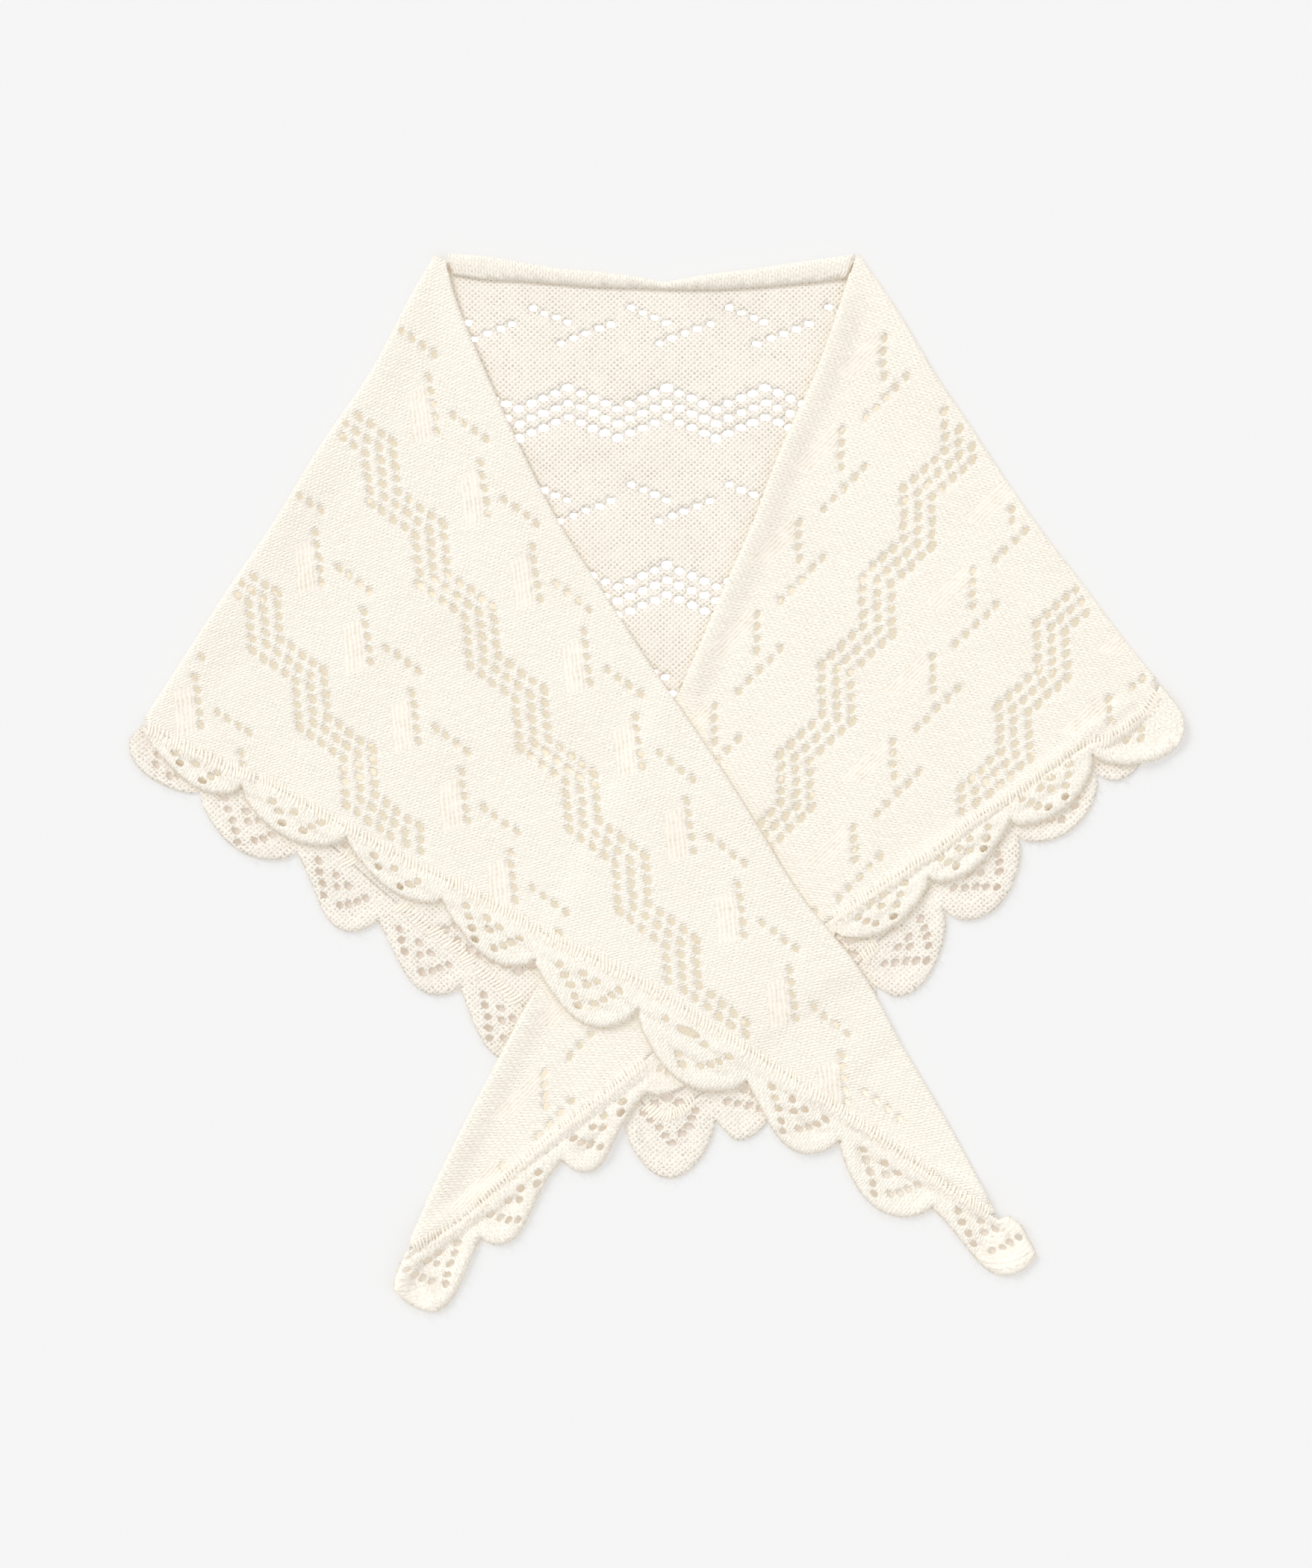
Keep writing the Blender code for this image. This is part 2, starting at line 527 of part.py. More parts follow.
def build_front(side):
    """The body of one front: its top, the fold with the strip turned under, and the rolled inner edge."""
    line = SIDES[side]
    loop, rows = front_loop(side)
    rows += level_rows(loop, side)
    if side == "left":
        origin, along, down = (583, 343), (0.52, 0.854), (-0.854, 0.52)
        bands = [(175, 183.5), (413, 276), (651, 366)]
    else:
        origin, along, down = (1155, 346), (-0.42, 0.907), (0.907, 0.42)
        bands = [(184, 127), (415, 87), (648, 172)]
    centres, turn = chosen_eyelets(origin, along, down, bands, 14)
    clear = [(line["fold"], line["fold_in"], FOLD_RADIUS / UNIT + 12),
             (line["inner"], line["inner_in"], LIP_RADIUS / UNIT + 14)]
    holes = cut_eyelets(centres, turn, loop, clear)
    make_wall(side + "_front_body", loop, holes, rows, fill_points(loop), lambda p: lay_front(p, side),
              FRONT_COLOUR)
    return len(holes)


def build_edging(name, seam, outward, rim, lay, colour, scallop_table):
    """A stretch of the lace edging, with the middle eyelet of each scallop cut."""
    inner = offset_line(seam, GAP * outward, 1)
    loop = np.vstack([inner, rim[::-1]])
    rows = np.array(scallop_table, float)
    notches = rows[:, :2]
    holes = []
    for a, b, crown in zip(notches, np.vstack([notches[1:], notches[-1:]]), rows[:, 2:]):
        if (a == b).all():
            continue
        middle = (a + b) / 2 + (crown - (a + b) / 2) * SCALLOP_EYELET
        chord = b - a
        holes += cut_eyelets(np.array([middle]), math.atan2(chord[1], chord[0]), loop)
    make_wall(name, loop, holes, [], fill_points(loop), lay, colour)
    return len(holes)


def build_back():
    """The back panel, between the two turned-under strips, with its neck edge rolled over on top."""
    sides = []
    for side, table in (("left", LEFT_FOLD), ("right", RIGHT_FOLD)):
        fold = curve(table, ARC_ROW_STEP)[:-1]
        sides.append(offset_line(fold, strip_width(fold) + STRIP_GAP, SIDES[side]["fold_in"]))
    left, right = sides
    x = np.linspace(NECK[0][0], NECK[-1][0], NECK_STATIONS)
    top, width, radius = neck_at(x)
    rows = [np.stack([x, top + e], 1) for e in turn_rows(radius)]
    flap = np.stack([x, top + (2 - math.pi) * radius - width], 1)
    shoulder_left = [(590, 352), (x[0] - 4, top[0] + 9)]
    shoulder_right = [(x[-1] + 4, top[-1] + 9), (1142, 352)]
    seam = curve(BACK_SEAM, EDGE_STEP)[2:-2]
    loop = np.vstack([shoulder_left, [row[0] for row in rows], flap, [row[-1] for row in reversed(rows)],
                      shoulder_right, right[1:-1], seam[::-1], left[1:-1][::-1]])
    bands = [(175, 0), (415, 0), (653, 0), (890, 0)]
    centres, turn = chosen_eyelets((893, 345), (1, 0), (0, 1), bands, 6)
    holes = cut_eyelets(centres, turn, loop)
    make_wall("back_body", loop, holes, [row[1:-1] for row in rows], fill_points(loop), lay_back, BACK_COLOUR)
    return len(holes)


def main():
    for obj in list(bpy.data.objects):
        bpy.data.objects.remove(obj)
    count = build_back()
    count += build_front("right")
    count += build_front("left")
    seam = curve(BACK_SEAM, EDGE_STEP)
    count += build_edging("back_edging", seam, 1, BACK_RIM, lay_flat, BACK_COLOUR, BACK_SCALLOPS)
    for side, outward in (("right", -1), ("left", 1)):
        table = LEFT_SCALLOPS if side == "left" else RIGHT_SCALLOPS
        count += build_edging(side + "_front_edging", SIDES[side]["seam"], outward, RIMS[side],
                              lambda p, s=side: lay_front(p, s), EDGING_COLOUR, table)
    print("eyelets cut:", count)


main()
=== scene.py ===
import math
import random

import bpy
import numpy as np
from bpy.props import FloatProperty, FloatVectorProperty, IntProperty, PointerProperty
from bpy.types import Operator, Panel, PropertyGroup
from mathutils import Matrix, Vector
from mathutils.geometry import delaunay_2d_cdt


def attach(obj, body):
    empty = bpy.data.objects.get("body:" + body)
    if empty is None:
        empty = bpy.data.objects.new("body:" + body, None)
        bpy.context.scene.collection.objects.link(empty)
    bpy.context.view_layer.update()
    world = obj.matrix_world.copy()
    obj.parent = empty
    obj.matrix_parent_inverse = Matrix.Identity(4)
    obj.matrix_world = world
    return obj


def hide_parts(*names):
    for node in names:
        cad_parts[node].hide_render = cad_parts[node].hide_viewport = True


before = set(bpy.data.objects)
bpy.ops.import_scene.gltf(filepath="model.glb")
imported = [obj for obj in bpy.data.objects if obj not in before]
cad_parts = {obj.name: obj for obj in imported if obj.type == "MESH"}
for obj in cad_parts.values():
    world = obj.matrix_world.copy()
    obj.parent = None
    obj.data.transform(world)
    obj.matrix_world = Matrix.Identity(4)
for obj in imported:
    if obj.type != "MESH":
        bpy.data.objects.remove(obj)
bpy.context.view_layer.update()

bl_info = {
    "name": "Knitted lace shawl",
    "version": (1, 0, 0),
    "blender": (4, 5, 0),
    "location": "View3D > Sidebar > Shawl",
    "description": "Knits, lays out and lights a triangle lace shawl on its packed solids",
    "category": "Object",
}

# The layout drawing has 0.4 mm units, x to the right and y down. This is its centre on the surface.
UNIT = 0.0004
CENTRE_X = 878.5
CENTRE_Y = 1051.5
SEAM_GAP = 0.0003

# Layout of the folded cloth. Columns: x, y
LEFT_FOLD = [(583, 343), (550, 400), (497, 500), (429, 600), (368, 700), (300, 800), (236, 900), (190, 970)]
RIGHT_FOLD = [(1150, 343), (1200, 416), (1250, 500), (1300, 574), (1350, 650), (1400, 720), (1450, 785),
              (1500, 852), (1552, 916)]
LEFT_INNER = [(597, 347), (609, 400), (650, 500), (696, 600), (747, 700), (811, 800), (876, 900),
              (945, 1000), (1009, 1100), (1071, 1200), (1151, 1300), (1207, 1400), (1266, 1500),
              (1320, 1600), (1337, 1632)]
RIGHT_INNER = [(1144, 347), (1128, 400), (1093, 500), (1047, 600), (1009, 700), (965, 800), (922, 900),
               (872, 1000), (822, 1110), (772, 1215), (722, 1315), (670, 1415), (628, 1495), (583, 1585),
               (543, 1675)]
LEFT_SEAM = [(190, 971), (230, 990), (300, 1025), (350, 1045), (450, 1100), (550, 1155), (650, 1205),
             (735, 1253), (870, 1322), (1015, 1415), (1143, 1497), (1262, 1585), (1337, 1632)]
RIGHT_SEAM = [(1552, 917), (1530, 955), (1490, 985), (1450, 1000), (1400, 1035), (1350, 1070), (1300, 1100),
              (1250, 1140), (1150, 1205), (1095, 1243), (972, 1322), (843, 1437), (729, 1528), (620, 1632),
              (543, 1675)]
BACK_SEAM = [(199, 982), (295, 1040), (418, 1112), (527, 1205), (638, 1292), (742, 1382), (830, 1452),
             (893, 1494), (950, 1456), (1052, 1385), (1148, 1292), (1240, 1192), (1342, 1092), (1450, 1006),
             (1543, 930)]

# Rolled neck edge. Columns: x, y of the top of the roll, y of the rim of the turned-down flap
NECK = [(606, 342, 368), (650, 345, 375), (700, 354, 377), (750, 362, 381), (800, 366, 385), (850, 372, 386),
        (890, 380, 388), (950, 369, 388), (1000, 364, 386), (1050, 356, 382), (1100, 349, 377),
        (1134, 343, 373)]

# Scallops of the edging, from notch to notch. Columns: notch x, notch y, crown x, crown y
LEFT_SCALLOPS = [(200, 990, 266, 1055), (325, 1053, 385, 1121), (465, 1121, 525, 1192),
                 (592, 1203, 652, 1281), (716, 1285, 782, 1369), (854, 1351, 912, 1447),
                 (1000, 1446, 1058, 1537), (1124, 1527, 1172, 1616), (1247, 1617, 1330, 1704)]
RIGHT_SCALLOPS = [(1556, 920, 1572, 1003), (1462, 1012, 1425, 1082), (1352, 1100, 1300, 1166),
                  (1243, 1176, 1190, 1244), (1118, 1248, 1062, 1330), (992, 1352, 935, 1440),
                  (866, 1463, 800, 1564), (752, 1554, 690, 1657), (644, 1658, 592, 1752)]
BACK_SCALLOPS = [(190, 971, 186, 1027), (268, 1060, 320, 1138), (397, 1141, 448, 1239),
                 (506, 1233, 560, 1323), (617, 1321, 662, 1412), (727, 1409, 778, 1496),
                 (836, 1500, 897, 1577), (958, 1500, 1010, 1519), (1062, 1428, 1127, 1424),
                 (1172, 1320, 1236, 1316), (1262, 1218, 1335, 1214), (1362, 1120, 1436, 1110),
                 (1467, 1037, 1530, 1020)]
LEFT_TIP = [(1387, 1682), (1382, 1670), (1368, 1642), (1351, 1628)]
RIGHT_TIP = [(528, 1725), (530, 1710), (536, 1692)]
SCALLOP_FULLNESS = 0.6

# Soft troughs and ridges. Columns: x and y of both ends, half width, height in metres
RIGHT_CREASES = [(1172, 430, 1080, 660, 26, -0.0009), (1080, 660, 985, 900, 30, -0.0007),
                 (760, 1500, 800, 1440, 12, 0.0010), (690, 1590, 735, 1530, 14, 0.0009),
                 (1330, 700, 1300, 860, 34, 0.0008)]
LEFT_CREASES = [(660, 590, 760, 780, 26, -0.0007), (905, 1372, 945, 1392, 12, -0.0008),
                (420, 760, 470, 900, 36, 0.0008), (1150, 1400, 1230, 1500, 22, 0.0009)]

# Lace chart of the triangle in one repeat of sixteen stitches. Columns: stitches from the peak, courses
# down from the band's top line. The two arms of a leaf stand between the bands.
BAND_LINES = 3
BAND_LINE_STEP = 2.64
BAND_COLUMNS = 8
BAND_RISE = 3.8
LEAF_ARMS = [(-5.8, 17.5), (-3.9, 18.4), (-2.0, 19.3), (-0.2, 20.2),
             (-1.3, 24.0), (0.8, 23.1), (2.9, 22.2), (5.0, 21.3), (7.0, 20.4)]

# Lace chart of one scallop. Columns: share of the way from notch to notch, units out from that line
SCALLOP_CHART = [(0.22, -10), (0.295, 0), (0.38, 9.5), (0.455, 20), (0.52, 30), (0.435, -11), (0.51, 0),
                 (0.58, -10), (0.64, 17), (0.70, 8), (0.745, -2), (0.785, -13)]

# A wide opening in the left front's edging: centre x and y, half length, half width, turn
WIDE_OPENING = (922.0, 1381.0, 17, 5.5, 0.42)

# Where the knit lies on each panel: origin, direction along the courses, direction down the wales, place of
# a peak along and down, repeat width, how far the repeat slides and narrows for each unit down, and its hand
KNIT = {
    "back": {"origin": (893, 345), "along": (1, 0), "down": (0, 1), "peak": 0, "band": 175,
             "repeat": 132, "slide": 0.0, "narrow": 0.0, "hand": 1},
    "left": {"origin": (583, 343), "along": (0.52, 0.854), "down": (-0.854, 0.52), "peak": 183.5,
             "band": 178, "repeat": 129.8, "slide": 0.13, "narrow": 0.03, "hand": -1},
    "right": {"origin": (1150, 343), "along": (-0.42, 0.907), "down": (0.907, 0.42), "peak": 257.8,
              "band": 186, "repeat": 131, "slide": 0.132, "narrow": 0.041, "hand": 1},
}
REPEAT_STITCHES = 16
REPEAT_COURSES = 32
COURSE = 7.42
STITCH = 8.2
LEAF_TURN = 40.6


def size_setting(name, description, default):
    return FloatProperty(name=name, description=description, default=default, unit="LENGTH")


def colour_setting(name, description, default):
    return FloatVectorProperty(name=name, description=description, default=default, subtype="COLOR",
                               size=3, min=0, max=1)


class ShawlSizes(PropertyGroup):
    """Sizes and colours of the shawl that a user would change."""

    cloth: size_setting("Cloth", "Thickness of the knit", 0.0011)
    wall: size_setting("Layer wall", "Room that one layer of cloth takes", 0.0015)
    fold: size_setting("Shoulder fold", "Radius of the folds at the shoulders", 0.0022)
    lip: size_setting("Rolled edge", "Radius of the rolled long edge", 0.0019)
    rim_rise: size_setting("Scallop curl", "How far the scallop rims curl up", 0.0030)
    hole_long: size_setting("Eyelet length", "Length of an eyelet along the courses", 0.0056)
    hole_short: size_setting("Eyelet width", "Width of an eyelet across the courses", 0.0038)
    grain: size_setting("Mesh step", "Spacing of the cloth's points", 0.0030)
    fine_grain: size_setting("Edging mesh step", "Spacing of the edging's points", 0.0016)
    yarn: colour_setting("Yarn", "Colour of the yarn in the light", (0.862, 0.832, 0.772))
    # Painted shade: Gaps and Wrong side gaps are darker copies of the yarn colours, painted between the
    # stitches and between the bumps where shade falls.
    shade: colour_setting("Gaps", "Colour between the stitches", (0.60, 0.55, 0.46))
    reverse: colour_setting("Wrong side", "Colour of the wrong side's bumps", (0.815, 0.785, 0.735))
    reverse_shade: colour_setting("Wrong side gaps", "Colour between those bumps", (0.43, 0.39, 0.335))
    # Painted light: the knit and the loose yarn emit a little of this warm colour, a painted light that lifts
    # their shade in place of light coming through the yarn.
    painted_glow: colour_setting("Painted shine", "Warm painted light in place of light through the yarn", (0.9, 0.68, 0.40))
    # Painted light: the knit emits this colour where another layer covers it, a painted light seen through
    # the eyelets in place of light coming through the layer above.
    through: colour_setting("Layer below", "Painted light of a covered layer, seen through an eyelet", (0.78, 0.69, 0.54))
    floor: colour_setting("Floor", "Colour of the pale floor", (0.46, 0.46, 0.46))
    floor_light: colour_setting("Floor light", "Light added to the open floor", (0.40, 0.40, 0.40))
    under_fronts: colour_setting("Light under the fronts", "Light on the floor under two layers",
                                 (0.62, 0.55, 0.43))
    under_neck: colour_setting("Light under the neck", "Light on the floor under the open back",
                               (0.95, 0.95, 0.95))
    under_edging: colour_setting("Light under the edging", "Light on the floor under it", (0.35, 0.27, 0.20))
    under_tail: colour_setting("Light under the tails", "Light on the floor under their edging",
                               (0.42, 0.35, 0.27))
    seed: IntProperty(name="Seed", description="Seed of the knit's small unevenness", default=11)


def ease(t):
    t = np.clip(t, 0.0, 1.0)
    return t * t * (3 - 2 * t)


def curve(table, step):
    """Points about one step apart on a smooth curve through the table's points."""
    p = np.array(table, float)
    p = np.vstack([2 * p[0] - p[1], p, 2 * p[-1] - p[-2]])
    out = []
    for a, b, c, d in zip(p, p[1:], p[2:], p[3:]):
        count = max(1, round(float(np.hypot(*(c - b))) / step))
        for i in range(count):
            t = i / count
            out.append(0.5 * (2 * b + (c - a) * t + (2 * a - 5 * b + 4 * c - d) * t * t
                              + (3 * b - a - 3 * c + d) * t ** 3))
    out.append(p[-2])
    return np.array(out)


def in_parts(function):
    """Runs a function of points over a few thousand points at a time."""
    def run(points, *args):
        points = np.asarray(points, float)
        parts = [function(points[i:i + 4000], *args) for i in range(0, max(len(points), 1), 4000)]
        if isinstance(parts[0], tuple):
            return tuple(np.concatenate(p) for p in zip(*parts))
        return np.concatenate(parts)
    return run


@in_parts
def side_of(points, line, inward):
    """Distance from a line, positive on its inward side, and the inward normal at the nearest place."""
    a, b = line[:-1], line[1:]
    run = b - a
    length = np.hypot(run[:, 0], run[:, 1])
    along = ((points[:, None] - a) * run).sum(2) / length ** 2
    low, high = np.zeros(len(a)), np.ones(len(a))
    low[0], high[-1] = -50, 50
    along = np.clip(along, low, high)
    off = points[:, None] - (a + along[..., None] * run)
    gap = np.hypot(off[..., 0], off[..., 1])
    near = gap.argmin(1)
    rows = np.arange(len(points))
    normal = (np.stack([-run[:, 1], run[:, 0]], 1) / length[:, None] * inward)[near]
    signed = (off[rows, near] * normal).sum(1)
    return np.where(signed < 0, -gap[rows, near], gap[rows, near]), normal


@in_parts
def inside(points, loop):
    x, y = points[:, 0][:, None], points[:, 1][:, None]
    a, b = loop, np.roll(loop, -1, 0)
    rise = b[:, 1] - a[:, 1]
    crosses = (a[:, 1] > y) != (b[:, 1] > y)
    at = a[:, 0] + (y - a[:, 1]) / np.where(rise == 0, 1e-12, rise) * (b[:, 0] - a[:, 0])
    return (crosses & (x < at)).sum(1) % 2 == 1


@in_parts
def rim_distance(points, loop):
    """Distance of each point from the rim of a closed loop."""
    a, b = loop, np.roll(loop, -1, 0)
    run = b - a
    along = ((points[:, None] - a) * run).sum(2) / np.maximum((run ** 2).sum(1), 1e-12)
    off = points[:, None] - (a + np.clip(along, 0, 1)[..., None] * run)
    return np.hypot(off[..., 0], off[..., 1]).min(1)


def gap_to(points, loop):
    """Distance of each point from a closed loop, 0 inside it."""
    return np.where(inside(points, loop), 0.0, rim_distance(points, loop))


def cover(points, loop, clear, reach):
    """1 over a loop and a clear margin round it, and smoothly down to 0 beyond a further reach."""
    return 1 - ease((gap_to(points, loop) - clear) / reach)


def scallop_arcs(table, last, count):
    """The rim of each scallop, bulging from its notch through its crown to the next notch."""
    rows = np.array(table, float)
    notches = np.vstack([rows[:, :2], [last]])
    arcs = []
    for start, end, crown in zip(notches, notches[1:], rows[:, 2:]):
        chord = end - start
        length = float(np.hypot(*chord))
        d = chord / length
        n = np.array([-d[1], d[0]])
        if (crown - start) @ n < 0:
            n = -n
        depth = (crown - start) @ n
        lean = math.log(0.5) / math.log(min(0.8, max(0.2, float((crown - start) @ d) / length)))
        u = np.linspace(0, 1, count, endpoint=False)
        bulge = depth * np.sin(math.pi * u ** lean) ** SCALLOP_FULLNESS
        arcs.append((start, d, n, length, start + d * length * u[:, None] + n * bulge[:, None]))
    return arcs


def scallops(table, last, count):
    arcs = scallop_arcs(table, last, count)
    return np.vstack([arc[4] for arc in arcs] + [np.array([last], float)])


def offset_line(line, distance, inward):
    """A line moved sideways, to its inward side where the distance is positive."""
    run = np.gradient(line, axis=0)
    n = np.stack([-run[:, 1], run[:, 0]], 1) * inward
    return line + n / np.hypot(n[:, 0], n[:, 1])[:, None] * np.reshape(distance, (-1, 1))


FINE = 10
RIM_POINTS = 26
SIDES = {
    "left": {"fold": curve(LEFT_FOLD, FINE), "inner": curve(LEFT_INNER, FINE), "seam": curve(LEFT_SEAM, 8),
             "creases": LEFT_CREASES, "fold_in": -1, "inner_in": 1},
    "right": {"fold": curve(RIGHT_FOLD, FINE), "inner": curve(RIGHT_INNER, FINE),
              "seam": curve(RIGHT_SEAM, 8), "creases": RIGHT_CREASES, "fold_in": 1, "inner_in": -1},
}
LEFT_RIM = np.vstack([scallops(LEFT_SCALLOPS, LEFT_TIP[0], RIM_POINTS), LEFT_TIP[1:]])
RIGHT_RIM = np.vstack([scallops(RIGHT_SCALLOPS, RIGHT_TIP[0], RIM_POINTS), RIGHT_TIP[1:]])
BACK_RIM = scallops(BACK_SCALLOPS, (1552, 917), RIM_POINTS)
LEFT_PLAN = np.vstack([SIDES["left"]["fold"], LEFT_RIM[::3], SIDES["left"]["inner"][::-1]])
RIGHT_PLAN = np.vstack([SIDES["right"]["fold"], RIGHT_RIM[::3], SIDES["right"]["inner"][::-1]])
BACK_COVER = np.vstack([LEFT_FOLD, np.array(BACK_SCALLOPS, float)[:, 2:], RIGHT_FOLD[::-1]])
RIGHT_COVER = np.vstack([RIGHT_FOLD, np.array(RIGHT_SCALLOPS, float)[:, 2:], RIGHT_TIP[:1],
                         RIGHT_INNER[::-1]])
RIMS = {"left": LEFT_RIM, "right": RIGHT_RIM, "back": BACK_RIM}

# Cut of each front and of its edging: width and length in metres, area in square metres
FRONT_CUTS = {"left": ((0.297, 0.540), 0.0775), "right": ((0.251, 0.585), 0.0717)}
EDGING_CUTS = {"left": ((0.530, 0.034), 0.0117), "right": ((0.505, 0.033), 0.0105)}

# Sizes of the layout in drawing units
STRIP_WIDTH = 30
LIP_TURN = 5
CLEAR_OF_NECK = 32
CLEAR_OF_LIP = 12
CLEAR_OF_RIM = 9
CLEAR_IN_SCALLOP = 8
TIP_FROM = 1604
TIP_REACH = 24
FIBRE_PITCH = 1.6
FIBRE_REACH = 11
FIBRE_SHARE = 1.0
FIBRE_CLEAR = 14
LINK_STEP = 5.2
LINK_LENGTH = 19
LINK_CLEAR = 12
HIDE_MARGIN = 9
HIDE_BLEND = 8
FOLD_REACH = 60
LIP_REACH = 34
CREASE_FADE = 20
STEP_DOWN = 36
RIM_CLEAR = 5
HIDE_REACH = 40
RIM_BAND = 22
ROW_STEP = 8

# Counts and shares, and sizes in metres
ARC_STEPS = 10
EYELET_SIDES = 10
PEAK_EYELET = 1.14
TROUGH_SHARE = 0.35
SCALLOP_EYELET = 0.86
LEAF_EYELET = 0.86
FRONT_SWELL = 0.0007
BACK_SWELL = 0.0006
FIBRE_RADIUS = 0.00007
FLOOR_CELLS = 248
FLOOR_SPAN = 0.62
FLOOR_REACH = 4.0
CAMERA_HEIGHT = 2.0
FRAME_HEIGHT = 0.84
SENSOR = 36


def to_metres(plan, height):
    return np.stack([(plan[:, 0] - CENTRE_X) * UNIT, (CENTRE_Y - plan[:, 1]) * UNIT, height], 1)


def roll(e, radius):
    """Plan position and turned angle of a cloth that rolls over a line, from its unrolled distance e."""
    angle = np.clip((radius - e) / radius, 0, math.pi)
    plan = np.where(e > radius, e, radius - radius * np.sin(angle))
    past = radius - math.pi * radius - e
    return np.where(past > 0, radius + past, plan), angle


def crease_height(points, creases):
    total = np.zeros(len(points))
    for ax, ay, bx, by, half, height in creases:
        a, run = np.array((ax, ay), float), np.array((bx - ax, by - ay), float)
        t = np.clip(((points - a) @ run) / (run @ run), 0, 1)
        off = points - (a + t[:, None] * run)
        total += height * (0.55 + 0.45 * np.sin(math.pi * t)) * np.exp(-(off ** 2).sum(1) / half ** 2)
    return total


def unevenness(points):
    """Soft lie of a hand-laid knit: a few long swells and a finer unevenness, from 0 to 1."""
    x, y = points[:, 0], points[:, 1]
    long_swell = np.sin(x / 47 + 1.3 * np.sin(y / 61)) * np.sin(y / 53 + 0.8 * np.sin(x / 71))
    short_swell = np.sin(x / 17 + y / 29) * np.sin(y / 15 - x / 37 + 0.7)
    return 0.5 + 0.34 * long_swell + 0.16 * short_swell


def bead(plan, rim_e):
    """Share of the height of the rolled rim of a scallop, highest halfway over the roll, uneven along it."""
    x, y = plan[:, 0], plan[:, 1]
    width = RIM_BAND * (1 + 0.16 * np.sin(x / 23 + y / 31) + 0.1 * np.sin(x / 9.5 - y / 13))
    across = np.clip(rim_e / width, 0, 1)
    return np.sqrt(np.clip(1 - (2 * across - 1) ** 2, 0, 1)) * (1 - 0.25 * across)


def lay_front(points, side, s):
    """Middle of a front's wall, in metres, from points of the unrolled front in drawing units."""
    points = np.asarray(points, float)
    line = SIDES[side]
    layer = s.wall + SEAM_GAP
    fold_e, fold_n = side_of(points, line["fold"], line["fold_in"])
    lip_e, lip_n = side_of(points, line["inner"], line["inner_in"])
    fold_r, lip_r = s.fold / UNIT, s.lip / UNIT
    tip = ease((points[:, 1] - TIP_FROM) / TIP_REACH) * (side == "left")
    lip_e = lip_e + np.maximum(lip_r + 2 - lip_e, 0) * tip
    fold_plan, fold_angle = roll(fold_e, fold_r)
    lip_plan, lip_angle = roll(lip_e, lip_r)
    plan = points + fold_n * (fold_plan - fold_e)[:, None] + lip_n * (lip_plan - lip_e)[:, None]
    level = layer * cover(plan, BACK_COVER, RIM_CLEAR, STEP_DOWN)
    free = 1.0
    if side == "left":
        level = level + layer * cover(plan, RIGHT_COVER, RIM_CLEAR, STEP_DOWN)
    else:
        free = 1 - cover(plan, LEFT_PLAN, RIM_CLEAR, HIDE_REACH)
    rim_e = rim_distance(plan, RIMS[side])
    middle = level + s.wall / 2
    off_fold = ease((fold_e - 20) / 30)
    middle = middle + free * s.rim_rise * bead(plan, rim_e) * off_fold
    relief = crease_height(plan, line["creases"])
    flat = ease((fold_e - FOLD_REACH) / CREASE_FADE) * ease((lip_e - LIP_REACH / 2) / CREASE_FADE)
    middle = middle + free * np.where(relief > 0, relief, 0) * flat
    middle = middle + free * FRONT_SWELL * unevenness(plan) * off_fold * ease((lip_e - 10) / 20)
    lip_lift = np.where(lip_e > lip_r, 2 * ease(1 - (lip_e - lip_r) / LIP_REACH), 1 + np.cos(lip_angle))
    lip_lift = lip_lift * (1 - 0.75 * tip)
    sink = 1 + TROUGH_SHARE * np.where(relief < 0, relief / s.wall, 0)
    middle = middle + free * s.lip * lip_lift * sink
    top_of_fold = s.wall / 2 + 2 * s.fold
    beside = ease(1 - (fold_e - fold_r) / FOLD_REACH)
    puffed = middle + (top_of_fold - middle) * beside
    height = np.where(fold_e > fold_r, puffed, s.wall / 2 + s.fold * (1 + np.cos(fold_angle)))
    return to_metres(plan, height)


def neck_at(x):
    """Top of the neck roll, width of its turned-down flap and its radius, at each x."""
    rows = np.array(NECK, float)
    top = np.interp(x, rows[:, 0], rows[:, 1])
    width = np.interp(x, rows[:, 0], rows[:, 2]) - top
    return top, width, np.clip(0.36 * width, 3.0, 5.5)


def bare(points):
    """1 where no front lies on the back, and smoothly 0 under the fronts."""
    return (1 - cover(points, LEFT_PLAN, 0, 26)) * (1 - cover(points, RIGHT_PLAN, 0, 26))


def bare_depth(points):
    """Distance from the nearest front that lies on the back, 0 under the fronts."""
    return np.minimum(gap_to(points, LEFT_PLAN), gap_to(points, RIGHT_PLAN))


def lay_back(points, s):
    """Middle of the back's wall, in metres, with its neck edge rolled over on top."""
    points = np.asarray(points, float)
    top, width, radius = neck_at(points[:, 0])
    e = points[:, 1] - top
    rolled = (points[:, 0] > NECK[0][0] - 1) & (points[:, 0] < NECK[-1][0] + 1)
    plan, angle = roll(e, radius)
    height = s.wall / 2 + radius * UNIT * (1 - np.cos(angle))
    droop = np.clip((plan - radius) / np.maximum(width - radius, 1), 0, 1)
    fall = np.maximum(2 * radius * UNIT - s.wall - SEAM_GAP, 0)
    height = height - np.where(e < radius - math.pi * radius, fall * droop ** 2, 0)
    y = np.where(rolled, top + plan, points[:, 1])
    reach = rolled * np.clip(1 - (y - top) / np.maximum(width, 1), 0, 1)
    x = points[:, 0] + reach * (11 * ease((points[:, 0] - 1100) / 34) - 6 * ease((640 - points[:, 0]) / 34))
    height = np.where(rolled, height, s.wall / 2)
    shown = bare(points)
    height = height + shown * ease((e - 70) / 60) * BACK_SWELL * unevenness(points)
    rim_e = rim_distance(points, BACK_RIM)
    height = height + shown * ease((points[:, 1] - 900) / 60) * 0.5 * s.rim_rise * bead(points, rim_e)
    return to_metres(np.stack([x, y], 1), height)


